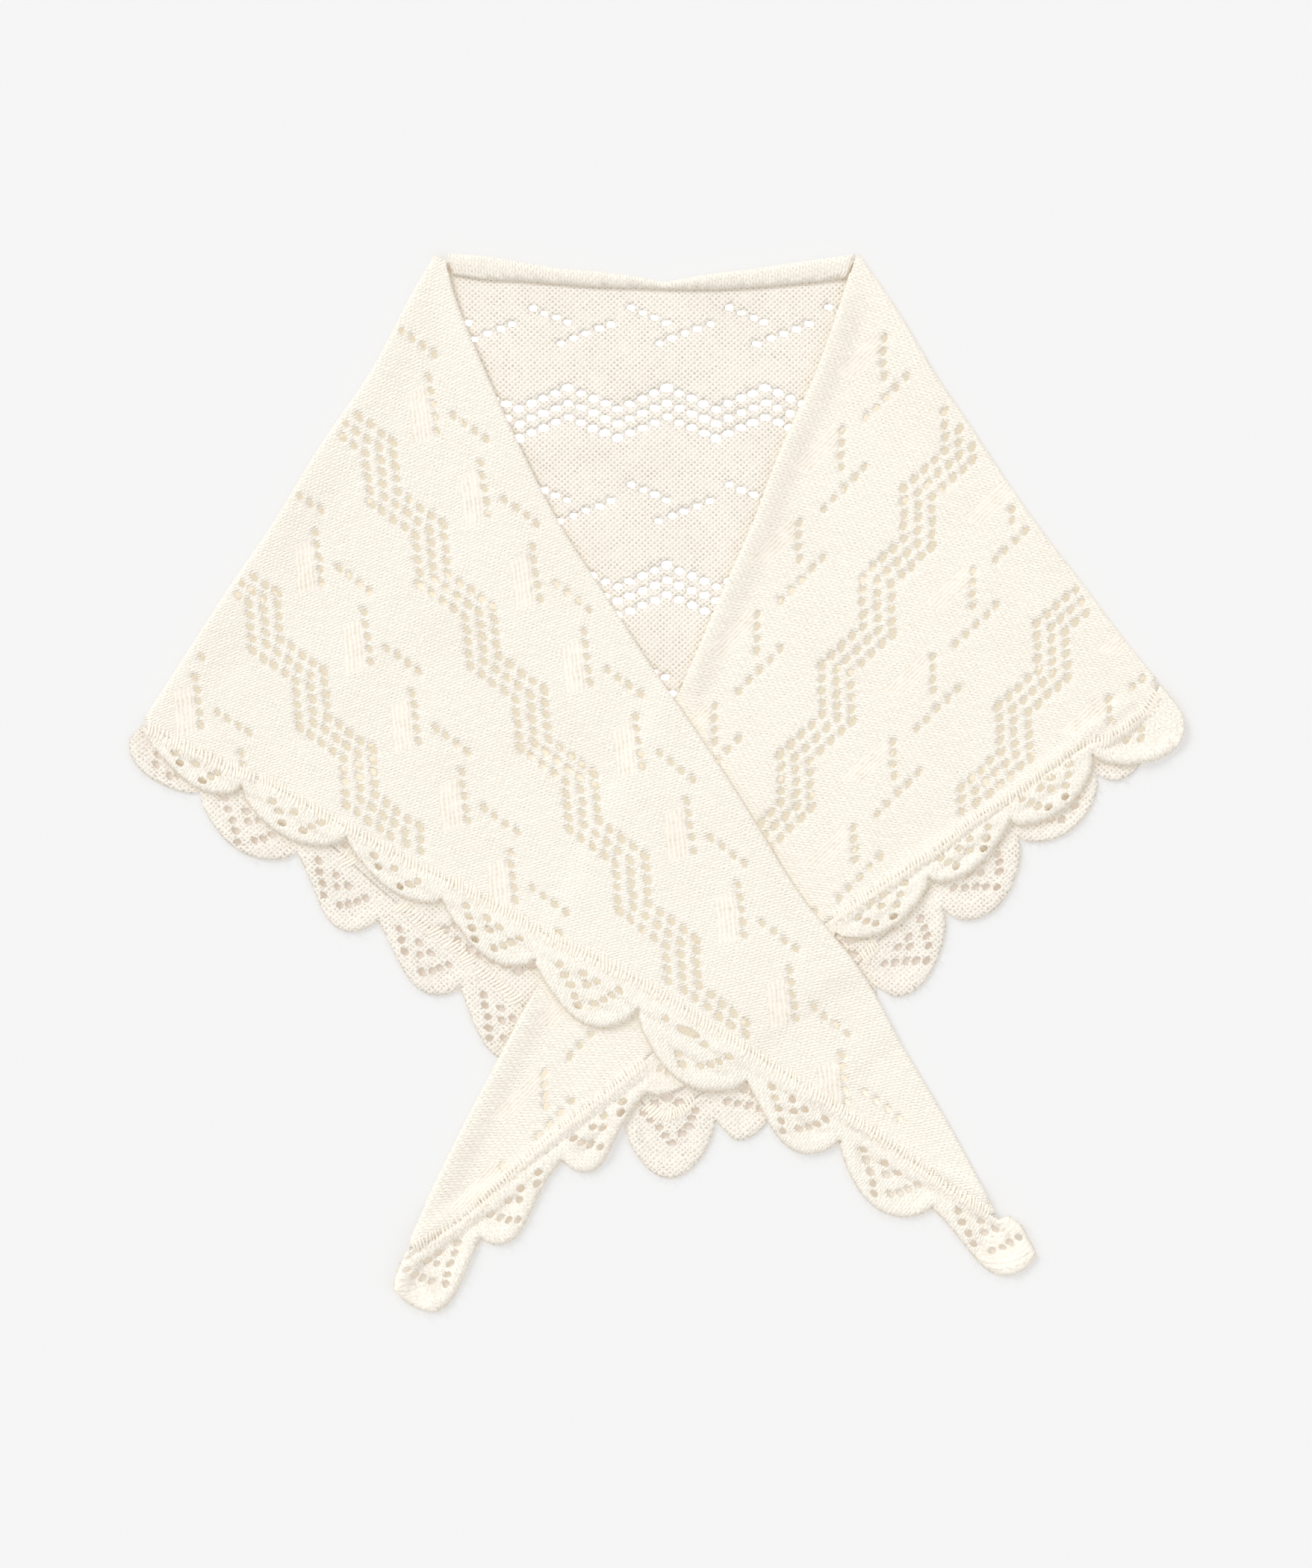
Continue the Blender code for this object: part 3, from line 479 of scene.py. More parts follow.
def stitches(points, panel):
    """Stitch and course numbers of points of a panel, counted from a peak of its first zigzag band."""
    k = KNIT[panel]
    rel = np.asarray(points, float) - k["origin"]
    along, down = rel @ np.array(k["along"], float), rel @ np.array(k["down"], float) - k["band"]
    wale = (along - k["peak"] + k["slide"] * down) / (k["repeat"] - k["narrow"] * down) * REPEAT_STITCHES
    return np.stack([wale * k["hand"], down / COURSE], 1)


def turned_stitches(points, panel):
    """Stitch and course numbers turned half round about the middle of a leaf."""
    return np.array([0, LEAF_TURN]) - stitches(points, panel)


@in_parts
def seam_counts(points, line):
    """Stitch and course numbers of an edging, along its seam and out from it."""
    a, b = line[:-1], line[1:]
    run = b - a
    length = np.hypot(run[:, 0], run[:, 1])
    start = np.concatenate([[0.0], np.cumsum(length)[:-1]])
    along = np.clip(((points[:, None] - a) * run).sum(2) / length ** 2, 0, 1)
    off = points[:, None] - (a + along[..., None] * run)
    gap = np.hypot(off[..., 0], off[..., 1])
    near = gap.argmin(1)
    rows = np.arange(len(points))
    arc = start[near] + along[rows, near] * length[near]
    return np.stack([arc / STITCH, gap[rows, near] / COURSE], 1)


def from_stitches(counts, panel):
    """Places of stitches on a panel, the other way round."""
    k = KNIT[panel]
    counts = np.asarray(counts, float)
    down = counts[:, 1] * COURSE
    along = counts[:, 0] * k["hand"] / REPEAT_STITCHES * (k["repeat"] - k["narrow"] * down)
    along += k["peak"] - k["slide"] * down
    return (np.array(k["origin"], float) + along[:, None] * np.array(k["along"], float)
            + (down + k["band"])[:, None] * np.array(k["down"], float))


def lace_chart():
    """One repeat of the lace, as stitch and course numbers with the size of each eyelet."""
    chart = []
    for line in range(BAND_LINES):
        for column in range(BAND_COLUMNS):
            share = column / BAND_COLUMNS
            fall = 2 * min(share, 1 - share)
            peak = (column == 0 and line == 0) or (2 * column == BAND_COLUMNS and line == 2)
            course = line * BAND_LINE_STEP + fall * BAND_RISE
            chart.append((share * REPEAT_STITCHES, course, PEAK_EYELET if peak else 1.0))
    return chart + [(wale, course, LEAF_EYELET) for wale, course in LEAF_ARMS]


def hole_rims(centres, turn, sizes, s, dice, narrow=1.0):
    """Slightly uneven oval rims, one for each eyelet."""
    rims = []
    for (x, y), size in zip(centres, sizes):
        a, b = s.hole_long / UNIT / 2 * size, s.hole_short / UNIT / 2 * size
        a *= dice.uniform(0.86, 1.1)
        b *= narrow * dice.uniform(0.86, 1.12)
        t = turn + dice.uniform(-0.2, 0.2)
        x, y = x + dice.uniform(-0.9, 0.9), y + dice.uniform(-0.8, 0.8)
        c, q = math.cos(t), math.sin(t)
        rim = []
        for i in range(EYELET_SIDES):
            w = 2 * math.pi * i / EYELET_SIDES
            u, v = math.cos(w), math.sin(w)
            u, v = a * math.copysign(abs(u) ** 0.85, u), b * math.copysign(abs(v) ** 0.85, v)
            rim.append((x + c * u - q * v, y + q * u + c * v))
        rims.append(np.array(rim))
    return rims


def panel_holes(panel, loop, s, dice):
    """Every eyelet of the lace chart that lies well inside a panel's loop."""
    counts, sizes = [], []
    for row in range(-1, 5):
        for column in range(-12, 14):
            for wale, course, size in lace_chart():
                counts.append((wale + column * REPEAT_STITCHES, course + row * REPEAT_COURSES))
                sizes.append(size)
    centres = from_stitches(counts, panel)
    keep = inside(centres, loop) & (rim_distance(centres, loop) > CLEAR_OF_RIM)
    if panel == "back":
        keep &= centres[:, 1] > neck_at(centres[:, 0])[0] + CLEAR_OF_NECK
    else:
        keep &= side_of(centres, SIDES[panel]["inner"], SIDES[panel]["inner_in"])[0] > CLEAR_OF_LIP
    turn = math.atan2(KNIT[panel]["along"][1], KNIT[panel]["along"][0])
    narrow = 1.0 if panel == "back" else 0.84
    return hole_rims(centres[keep], turn, np.array(sizes)[keep], s, dice, narrow)


def scallop_holes(table, last, loop, s, dice):
    """The eyelets of an edging's scallops, and its one wide opening."""
    x, y, long_half, short_half, turn = WIDE_OPENING
    centre = np.array([x, y])
    w = np.linspace(0, 2 * math.pi, 17)[:-1]
    u, v = long_half * np.cos(w), short_half * np.sin(w)
    c, q = math.cos(turn), math.sin(turn)
    rims = [centre + np.stack([c * u - q * v, q * u + c * v], 1)] if inside(centre[None], loop)[0] else []
    for start, d, n, length, _ in scallop_arcs(table, last, 4):
        centres = np.array([start + d * length * t + n * out for t, out in SCALLOP_CHART])
        keep = inside(centres, loop) & (rim_distance(centres, loop) > CLEAR_IN_SCALLOP)
        keep &= np.hypot(*(centres - centre).T) > long_half + CLEAR_OF_RIM
        rims += hole_rims(centres[keep], math.atan2(d[1], d[0]), [SCALLOP_EYELET] * int(keep.sum()), s, dice)
    return rims


def turn_rows(radius):
    return [radius - math.pi * radius * k / ARC_STEPS for k in range(ARC_STEPS + 1)]


def link(start, count, closed):
    pairs = [(start + i, start + i + 1) for i in range(count - 1)]
    return pairs + [(start + count - 1, start)] if closed else pairs


def outside_holes(points, holes, clear):
    """True for the points that lie clear of every eyelet."""
    order = np.argsort(points[:, 1])
    ranked = points[order]
    free = np.ones(len(points), bool)
    for rim in holes:
        centre = rim.mean(0)
        spokes = rim - centre
        wide = np.hypot(spokes[:, 0], spokes[:, 1])
        turns = np.arctan2(spokes[:, 1], spokes[:, 0])
        by_turn = np.argsort(turns)
        tall = wide.max() + clear
        first, last = np.searchsorted(ranked[:, 1], (centre[1] - tall, centre[1] + tall))
        off = ranked[first:last] - centre
        reach = np.interp(np.arctan2(off[:, 1], off[:, 0]), turns[by_turn], wide[by_turn], period=2 * math.pi)
        free[first:last] &= np.hypot(off[:, 0], off[:, 1]) > reach + clear
    out = np.empty(len(points), bool)
    out[order] = free
    return out


def nowhere(points):
    return np.zeros(len(points))


def depth_in(points, loop):
    """0 outside a loop and a margin inside it, and smoothly up to 1 deeper in."""
    return inside(points, loop) * ease((rim_distance(points, loop) - HIDE_MARGIN) / HIDE_BLEND)


# Masks of the covered parts of a layer, where the knit materials paint their light.
def under_left(points):
    return depth_in(points, LEFT_PLAN)


def under_fronts(points):
    return np.maximum(under_left(points), depth_in(points, RIGHT_PLAN))


def turned_under(points, side, s):
    """1 on the part of a front that its shoulder fold turns under."""
    past = side_of(points, SIDES[side]["fold"], SIDES[side]["fold_in"])[0]
    return 1 - ease((past / (s.fold / UNIT) + 1.0) / 0.8)


def put_in_scene(name, data):
    obj = bpy.data.objects.new(name, data)
    bpy.context.scene.collection.objects.link(obj)
    return obj


def knit_sheet(name, loop, holes, rows, lay, number_stitches, grain, s, over, under, **hidden):
    """A sheet of knit: meshed flat inside its loop round its eyelets, then laid and given its thickness."""
    points, edges, label = [], [], []
    runs = [(loop, True, -1)] + [(h, True, i) for i, h in enumerate(holes)] + [(r, False, -2) for r in rows]
    for run, closed, mark in runs:
        edges += link(len(points), len(run), closed)
        points.extend(run)
        label += [mark] * len(run)
    step = grain / UNIT
    low, high = loop.min(0), loop.max(0)
    ys = np.arange(low[1], high[1], step * 0.87)
    grid = np.array([(x + (step / 2 if j % 2 else 0), y)
                     for j, y in enumerate(ys) for x in np.arange(low[0], high[0], step)])
    grid = grid[inside(grid, loop)]
    grid = grid[rim_distance(grid, loop) > step * 0.45]
    grid = grid[outside_holes(grid, holes, step * 0.4)]
    cells = {}
    for x, y in points:
        cells.setdefault((int(x // step), int(y // step)), []).append((x, y))
    loose = []
    for x, y in grid:
        i, j = int(x // step), int(y // step)
        near = [q for a in (-1, 0, 1) for b in (-1, 0, 1) for q in cells.get((i + a, j + b), ())]
        if all((q[0] - x) ** 2 + (q[1] - y) ** 2 > (step * 0.5) ** 2 for q in near):
            loose.append((x, y))
    points.extend(loose)
    label += [-2] * len(loose)
    verts, _, faces, origin, *_ = delaunay_2d_cdt([Vector((p[0], -p[1])) for p in points], edges, [], 0, 1e-4)
    flat = np.array([(v.x, -v.y) for v in verts])
    marks = np.array([max((label[i] for i in o), default=-2) for o in origin])
    faces = np.array([tuple(f) for f in faces])
    mark = marks[faces]
    in_hole = (mark[:, 0] >= 0) & (mark[:, 0] == mark[:, 1]) & (mark[:, 0] == mark[:, 2])
    faces = faces[~in_hole & inside(flat[faces].mean(1), loop)]
    used = np.unique(faces)
    number = np.full(len(flat), -1)
    number[used] = np.arange(len(used))
    faces, flat = number[faces], flat[used]
    mesh = bpy.data.meshes.new(name)
    mesh.from_pydata(lay(flat).tolist(), [], faces.tolist())
    mesh.polygons.foreach_set("use_smooth", [True] * len(mesh.polygons))
    counts = number_stitches(flat)
    corner = np.zeros(len(mesh.loops), int)
    mesh.loops.foreach_get("vertex_index", corner)
    mesh.uv_layers.new(name="stitches").data.foreach_set("uv", counts[corner].ravel())
    # Masks of the covered parts, which the knit materials read to paint light there.
    for face, function in hidden.items():
        shade = mesh.attributes.new(face, "FLOAT", "POINT")
        shade.data.foreach_set("value", function(flat).astype(np.float32))
    mesh.materials.append(over)
    mesh.materials.append(under)
    obj = put_in_scene(name, mesh)
    thick = obj.modifiers.new("Cloth thickness", "SOLIDIFY")
    thick.thickness = s.cloth
    thick.offset = 0.0
    thick.use_even_offset = False
    thick.material_offset = 1
    thick.material_offset_rim = 0
    return obj


# Materials

class Wires:
    """Short hand for the nodes of one tree."""

    def __init__(self, tree):
        self.tree = tree

    def put(self, kind, **values):
        node = self.tree.nodes.new(kind)
        for name, value in values.items():
            setattr(node, name, value)
        return node

    def join(self, source, target):
        self.tree.links.new(source, target)

    def feed(self, socket, value):
        if isinstance(value, (int, float, tuple)):
            socket.default_value = value
        else:
            self.join(value, socket)

    def math(self, operation, *values, clamp=False):
        node = self.put("ShaderNodeMath", operation=operation, use_clamp=clamp)
        for socket, value in zip(node.inputs, values):
            self.feed(socket, value)
        return node.outputs[0]

    def add(self, a, b, clamp=False):
        return self.math("ADD", a, b, clamp=clamp)

    def less(self, a, b, clamp=False):
        return self.math("SUBTRACT", a, b, clamp=clamp)

    def times(self, a, b, clamp=False):
        return self.math("MULTIPLY", a, b, clamp=clamp)

    def vector(self, operation, a, b, socket=1):
        node = self.put("ShaderNodeVectorMath", operation=operation)
        self.feed(node.inputs[0], a)
        self.feed(node.inputs[socket], b)
        return node.outputs[0]

    def noise(self, place, scale, detail):
        node = self.put("ShaderNodeTexNoise", noise_dimensions="3D")
        preset(node, {"Scale": scale, "Detail": detail})
        self.join(place, node.inputs["Vector"])
        return node

    def mix(self, share, a, b):
        node = self.put("ShaderNodeMix", data_type="RGBA")
        for socket, value in ((node.inputs[0], share), (node.inputs[6], a), (node.inputs[7], b)):
            self.feed(socket, value)
        return node.outputs[2]


def preset(node, values):
    """Sets a node's plain values by the names of their sockets."""
    for title, value in values.items():
        node.inputs[title].default_value = value
    return node


def new_material(name, values):
    """A material, its wires and its shader, with the shader's plain values."""
    material = bpy.data.materials.new(name)
    material.use_nodes = True
    material.cycles.emission_sampling = "NONE"
    shader = material.node_tree.nodes["Principled BSDF"]
    return material, Wires(material.node_tree), preset(shader, values)


def new_group(name, inputs, outputs):
    group = bpy.data.node_groups.new(name, "ShaderNodeTree")
    for title, kind, default in inputs:
        socket = group.interface.new_socket(title, in_out="INPUT", socket_type=kind)
        if default is not None:
            socket.default_value = default
    for title, kind in outputs:
        group.interface.new_socket(title, in_out="OUTPUT", socket_type=kind)
    return group, Wires(group)


def face_stitches():
    """Right side of stocking stitch: columns of V shapes, with a small gap of painted shade at each end of a
    leg, and a patch of upright columns beside the long arm of each leaf."""
    group, w = new_group("Face stitches",
                         [("Stitches", "NodeSocketVector", None), ("Leaves", "NodeSocketFloat", 1.0)],
                         [("Height", "NodeSocketFloat"), ("Gap", "NodeSocketFloat")])
    entry, leave = w.put("NodeGroupInput"), w.put("NodeGroupOutput")
    split = w.put("ShaderNodeSeparateXYZ")
    w.join(entry.outputs["Stitches"], split.inputs[0])
    wale, course = split.outputs[0], split.outputs[1]
    turn = 2 * math.pi

    def tent(value, steep):
        return w.less(1.0, w.math("ABSOLUTE", w.less(w.times(value, steep), 1.0)))

    def from_middle(value):
        return w.math("ABSOLUTE", w.less(w.math("FRACT", value), 0.5))

    leg = from_middle(wale)
    body = w.math("POWER", w.math("MAXIMUM", tent(leg, 4.0), 0.0), 0.5)
    slanted = w.math("FRACT", w.less(course, leg))
    ends = w.math("POWER", w.math("MAXIMUM", tent(slanted, 2.0), 0.0), 0.35)
    height = w.times(body, w.add(0.35, w.times(ends, 0.65)))
    tilted = w.add(w.times(wale, turn), w.times(course, 0.9))
    wave = w.times(w.math("COSINE", tilted), w.math("COSINE", w.times(course, turn)))
    gap = w.times(w.less(wave, 0.42), 2.2, clamp=True)
    repeats = w.add(w.math("DIVIDE", wale, REPEAT_STITCHES), 0.5)
    in_repeat = w.less(w.times(w.math("FRACT", repeats), REPEAT_STITCHES), REPEAT_STITCHES / 2)
    down = w.times(w.math("FRACT", w.math("DIVIDE", course, REPEAT_COURSES)), REPEAT_COURSES)
    beside = w.add(w.less(down, 23.23), w.times(in_repeat, 0.472))
    columns = from_middle(w.math("DIVIDE", beside, 0.8))
    steps = from_middle(w.times(wale, 1.1))
    slot = w.times(w.less(columns, 0.05), 2.4, clamp=True)
    slot = w.times(slot, w.less(1.25, w.times(steps, 1.5), clamp=True))
    patch = entry.outputs["Leaves"]
    for value, edge, steep in ((beside, 1.0, 3.0), (beside, 5.0, -3.0),
                               (in_repeat, -2.2, 1.5), (in_repeat, 6.4, -1.5)):
        patch = w.times(patch, w.times(w.less(value, edge), steep, clamp=True))
    plain = w.less(1.0, patch)
    ribs = w.less(0.6, w.times(columns, 0.5))
    w.join(w.add(w.times(height, plain), w.times(patch, ribs)), leave.inputs["Height"])
    # The patch takes 0.06 more of the darker gap colour, a painted shade that matches the shading which the
    # plain knit gets from its deeper relief.
    w.join(w.add(w.times(gap, plain), w.times(w.add(slot, 0.06), patch)), leave.inputs["Gap"])
    return group


def reverse_stitches():
    """Wrong side of stocking stitch: staggered bumps with small dots of painted shade between them."""
    group, w = new_group("Reverse stitches", [("Stitches", "NodeSocketVector", None)],
                         [("Height", "NodeSocketFloat"), ("Gap", "NodeSocketFloat")])
    entry, leave = w.put("NodeGroupInput"), w.put("NodeGroupOutput")
    split = w.put("ShaderNodeSeparateXYZ")
    w.join(entry.outputs["Stitches"], split.inputs[0])
    across, down = (w.math("COSINE", w.times(split.outputs[i], 2 * math.pi)) for i in (0, 1))
    wave = w.times(across, down)
    w.join(w.less(1.0, w.times(w.add(wave, 1.0), 0.5)), leave.inputs["Height"])
    w.join(w.times(w.less(wave, 0.28), 2.0, clamp=True), leave.inputs["Gap"])
    return group


def yarn_wear():
    """Unevenness of the yarn: coordinates that wander a little, and a soft cloudy tint."""
    group, w = new_group("Yarn unevenness",
                         [("Stitches", "NodeSocketVector", None), ("Wander", "NodeSocketFloat", 0.22)],
                         [("Stitches", "NodeSocketVector"), ("Cloud", "NodeSocketFloat"),
                          ("Fuzz", "NodeSocketFloat"), ("Uneven", "NodeSocketFloat")])
    entry, leave = w.put("NodeGroupInput"), w.put("NodeGroupOutput")
    place = w.put("ShaderNodeTexCoord").outputs["Object"]
    drift = w.vector("SUBTRACT", w.noise(place, 260.0, 2.0).outputs["Color"], (0.5, 0.5, 0.5))
    drift = w.vector("SCALE", drift, entry.outputs["Wander"], "Scale")
    w.join(w.vector("ADD", entry.outputs["Stitches"], drift), leave.inputs["Stitches"])
    w.join(w.noise(place, 22.0, 3.0).outputs["Fac"], leave.inputs["Cloud"])
    w.join(w.noise(place, 900.0, 2.0).outputs["Fac"], leave.inputs["Fuzz"])
    uneven = w.times(w.less(w.noise(place, 190.0, 3.0).outputs["Fac"], 0.18), 1.8)
    w.join(w.math("MAXIMUM", uneven, 0.1), leave.inputs["Uneven"])
    return group


def raise_bumps(w, shader, height, strength, distance):
    bump = preset(w.put("ShaderNodeBump"), {"Strength": strength, "Distance": distance})
    w.join(height, bump.inputs["Height"])
    w.join(bump.outputs[0], shader.inputs["Normal"])


def knit_material(name, stitch_group, wear_group, hidden, light, dark, s, wander, contrast, leaves=None):
    """Matt soft knit: stitch colour, painted shade in the gaps between stitches, and relief from the piece's
    own stitch map.
    Where no layer covers it, it emits a little warm painted light that lifts its shade. Where another layer
    covers it, its colour is nearly black and it emits a beige painted light instead, which stands in for
    light coming through that layer's yarn."""
    _, w, shader = new_material(name, {
        "Emission Strength": 1.0, "Roughness": 0.95, "Specular IOR Level": 0.15, "Sheen Weight": 0.25,
        "Sheen Roughness": 0.6})
    wear = preset(w.put("ShaderNodeGroup", node_tree=wear_group), {"Wander": wander})
    w.join(w.put("ShaderNodeUVMap", uv_map="stitches").outputs[0], wear.inputs["Stitches"])
    knit = w.put("ShaderNodeGroup", node_tree=stitch_group)
    w.join(wear.outputs["Stitches"], knit.inputs["Stitches"])
    if leaves is not None:
        knit.inputs["Leaves"].default_value = leaves
    share = w.times(w.times(knit.outputs["Gap"], wear.outputs["Uneven"]), contrast, clamp=True)
    cloud = w.times(w.less(wear.outputs["Cloud"], 0.42), 0.35, clamp=True)
    fuzz = w.times(w.less(wear.outputs["Fuzz"], 0.5), 0.25)
    share = w.add(w.add(share, cloud), fuzz, clamp=True)
    # Painted light: where another layer covers this one, its colour is nearly black and it emits the
    # layer-below colour, mixed by the stitch share; elsewhere it emits a little warm painted light. This
    # stands in for light coming through the yarn and lifts the shade.
    covered = w.put("ShaderNodeAttribute", attribute_name=hidden).outputs["Fac"]
    colour = w.mix(share, (*light, 1), (*dark, 1))
    w.join(w.mix(covered, colour, (0.1, 0.09, 0.07, 1)), shader.inputs["Base Color"])
    through = w.mix(share, (*s.through, 1), (*(0.8 * c for c in s.through), 1))
    w.join(w.mix(covered, (*(0.12 * c for c in s.painted_glow), 1), through), shader.inputs["Emission Color"])
    raise_bumps(w, shader, w.add(knit.outputs["Height"], w.times(wear.outputs["Fuzz"], 0.35)), 0.7, 0.0006)


def shawl_materials(s):
    """The finishes of the knit, made once."""
    names = ("Knit right side", "Knit wrong side", "Edging right side", "Edging wrong side", "Linking yarn")
    if names[0] not in bpy.data.materials:
        face, reverse, wear = face_stitches(), reverse_stitches(), yarn_wear()
        yarn, shade = tuple(s.yarn), tuple(s.shade)
        back, back_shade = tuple(s.reverse), tuple(s.reverse_shade)
        for name, wander, contrast, leaves in ((names[0], 0.75, 0.9, 1.0), (names[2], 1.1, 0.8, 0.0)):
            knit_material(name, face, wear, "hidden_right", yarn, shade, s, wander, contrast, leaves)
        for name, wander, contrast in ((names[1], 0.5, 1.1), (names[3], 1.1, 1.0)):
            knit_material(name, reverse, wear, "hidden_wrong", back, back_shade, s, wander, contrast)
        yarn_material(names[4], wear, yarn, shade, s.painted_glow)
    return {name: bpy.data.materials[name] for name in names}


def yarn_material(name, wear_group, light, dark, painted_glow):
    """Soft loose yarn of the linking stitches and fibres. It emits a little warm painted light that lifts its
    shade.
    """
    _, w, shader = new_material(name, {
        "Roughness": 0.95, "Specular IOR Level": 0.1, "Emission Color": (*painted_glow, 1),
        "Emission Strength": 0.12})
    fuzz = w.put("ShaderNodeGroup", node_tree=wear_group).outputs["Fuzz"]
    share = w.times(w.less(fuzz, 0.35), 0.5, clamp=True)
    w.join(w.mix(share, (*light, 1), (*dark, 1)), shader.inputs["Base Color"])
    raise_bumps(w, shader, fuzz, 0.3, 0.0003)


def fold_strip(side):
    """Points along a shoulder fold, and the width of the strip that turns under there."""
    fold = curve(LEFT_FOLD if side == "left" else RIGHT_FOLD, ROW_STEP)[:-1]
    return fold, 4 + (STRIP_WIDTH - 4) * ease((np.arange(len(fold)) * ROW_STEP - 20) / 120)


def front_loop(side, s):
    """The unrolled rim of a front's body, and the rows of points round its fold and its rolled edge."""
    line = SIDES[side]
    fold_rows, lip_rows = turn_rows(s.fold / UNIT), turn_rows(s.lip / UNIT)
    fold, strip = fold_strip(side)
    inner = curve(LEFT_INNER if side == "left" else RIGHT_INNER, ROW_STEP)
    around = [offset_line(fold, e, line["fold_in"]) for e in fold_rows]
    strip_rim = offset_line(fold, fold_rows[-1] + fold_rows[0] - strip, line["fold_in"])
    path = [row[0] for row in around] + list(strip_rim) + [row[-1] for row in reversed(around)]
    path += list(line["seam"][1:-1])
    open_above = np.ones(len(inner), bool)
    if side == "right":
        under = offset_line(inner, s.lip / UNIT + LIP_TURN, line["inner_in"])
        open_above = cover(under, LEFT_PLAN, 0, HIDE_REACH) < 0.2
    open_above[:3] = open_above[-8:] = False
    over = [offset_line(inner, e, line["inner_in"]) for e in lip_rows]
    lip_rim = offset_line(inner, lip_rows[-1] - LIP_TURN, line["inner_in"])
    turned = [k for k, e in enumerate(lip_rows) if e < -0.5]
    rows = [row[1:-1] for row in around]
    last = len(inner) - 3
    for i in range(last, -1, -1):
        here = open_above[i]
        before = i < last and open_above[i + 1]
        after = i > 0 and open_above[i - 1]
        if not here:
            path.append(inner[i])
        elif not before:
            path += [inner[i]] + [over[k][i] for k in turned] + [lip_rim[i]]
        elif not after:
            path += [lip_rim[i]] + [over[k][i] for k in reversed(turned)] + [inner[i]]
        else:
            path.append(lip_rim[i])
    for k, row in enumerate(over):
        run = []
        for i in range(1, last):
            if k not in turned or (open_above[i] and open_above[i - 1] and open_above[i + 1]):
                run.append(row[i])
            else:
                rows.append(np.array(run))
                run = []
        rows.append(np.array(run))
    return np.array(path), [row for row in rows if len(row)]


def back_loop():
    """The unrolled rim of the back, and the rows of points round its neck roll."""
    sides = []
    for side in ("left", "right"):
        fold, strip = fold_strip(side)
        sides.append(offset_line(fold, strip + 1.2, SIDES[side]["fold_in"]))
    left, right = sides
    x = np.linspace(NECK[0][0], NECK[-1][0], 67)
    top, width, radius = neck_at(x)
    rows = [np.stack([x, top + e], 1) for e in turn_rows(radius)]
    flap = np.stack([x, top + (2 - math.pi) * radius - width], 1)
    shoulder_left = [(590, 352), (x[0] - 4, top[0] + 9)]
    shoulder_right = [(x[-1] + 4, top[-1] + 9), (1142, 352)]
    seam = curve(BACK_SEAM, 8)[5:-5]
    loop = np.vstack([shoulder_left, [row[0] for row in rows], flap, [row[-1] for row in reversed(rows)],
                      shoulder_right, right[2:-3], seam[::-1], left[2:-3][::-1]])
    return loop, [row[1:-1] for row in rows]


def strands(name, lines, radii, material, sides=6):
    """Soft round strands as one joined mesh, each tapered to both ends and rounded in its middle."""
    verts, faces = [], []
    for line, radius in zip(lines, radii):
        run = np.gradient(line, axis=0)
        run /= np.linalg.norm(run, axis=1)[:, None]
        across = np.cross(run, (0, 0, 1.0))
        across /= np.linalg.norm(across, axis=1)[:, None]
        up = np.cross(across, run)
        base = len(verts)
        for k in range(len(line)):
            r = radius * math.sin(math.pi * (k + 0.5) / len(line)) ** 0.5
            for i in range(sides):
                a = 2 * math.pi * i / sides
                verts.append(line[k] + r * (math.cos(a) * across[k] + 0.75 * math.sin(a) * up[k]))
        for k in range(len(line) - 1):
            for i in range(sides):
                j = (i + 1) % sides
                a, b = base + k * sides, base + (k + 1) * sides
                faces.append((a + i, b + i, b + j, a + j))
        faces.append(tuple(base + i for i in range(sides)))
        faces.append(tuple(base + (len(line) - 1) * sides + i for i in reversed(range(sides))))
    mesh = bpy.data.meshes.new(name)
    mesh.from_pydata([tuple(v) for v in verts], [], faces)
    mesh.polygons.foreach_set("use_smooth", [True] * len(mesh.polygons))
    mesh.materials.append(material)
    return put_in_scene(name, mesh)


def seam_stitches(seam, outward, shown, lay, s, dice):
    """Long slanted stitches that link an edging to its body, as lines over the seam."""
    line = curve(seam, 1.0)
    pick = np.arange(14, len(line) - 14, LINK_STEP).astype(int)
    run = np.gradient(line, axis=0)[pick]
    run /= np.hypot(run[:, 0], run[:, 1])[:, None]
    out = np.stack([-run[:, 1], run[:, 0]], 1) * outward
    places = line[pick]
    keep = shown(places)
    lines = []
    for p, d, n in zip(places[keep], run[keep], out[keep]):
        reach = LINK_LENGTH / 2 * dice.uniform(0.75, 1.2)
        slant = dice.uniform(0.1, 0.5)
        t = np.linspace(-1, 1, 6)[:, None]
        lines.append(p + (n + d * slant) * reach * t + n * dice.uniform(-1.5, 1.5))
    laid = lay(np.vstack(lines)).reshape(len(lines), 6, 3)
    laid[:, :, 2] += s.cloth / 2 + 0.0001
    return list(laid)


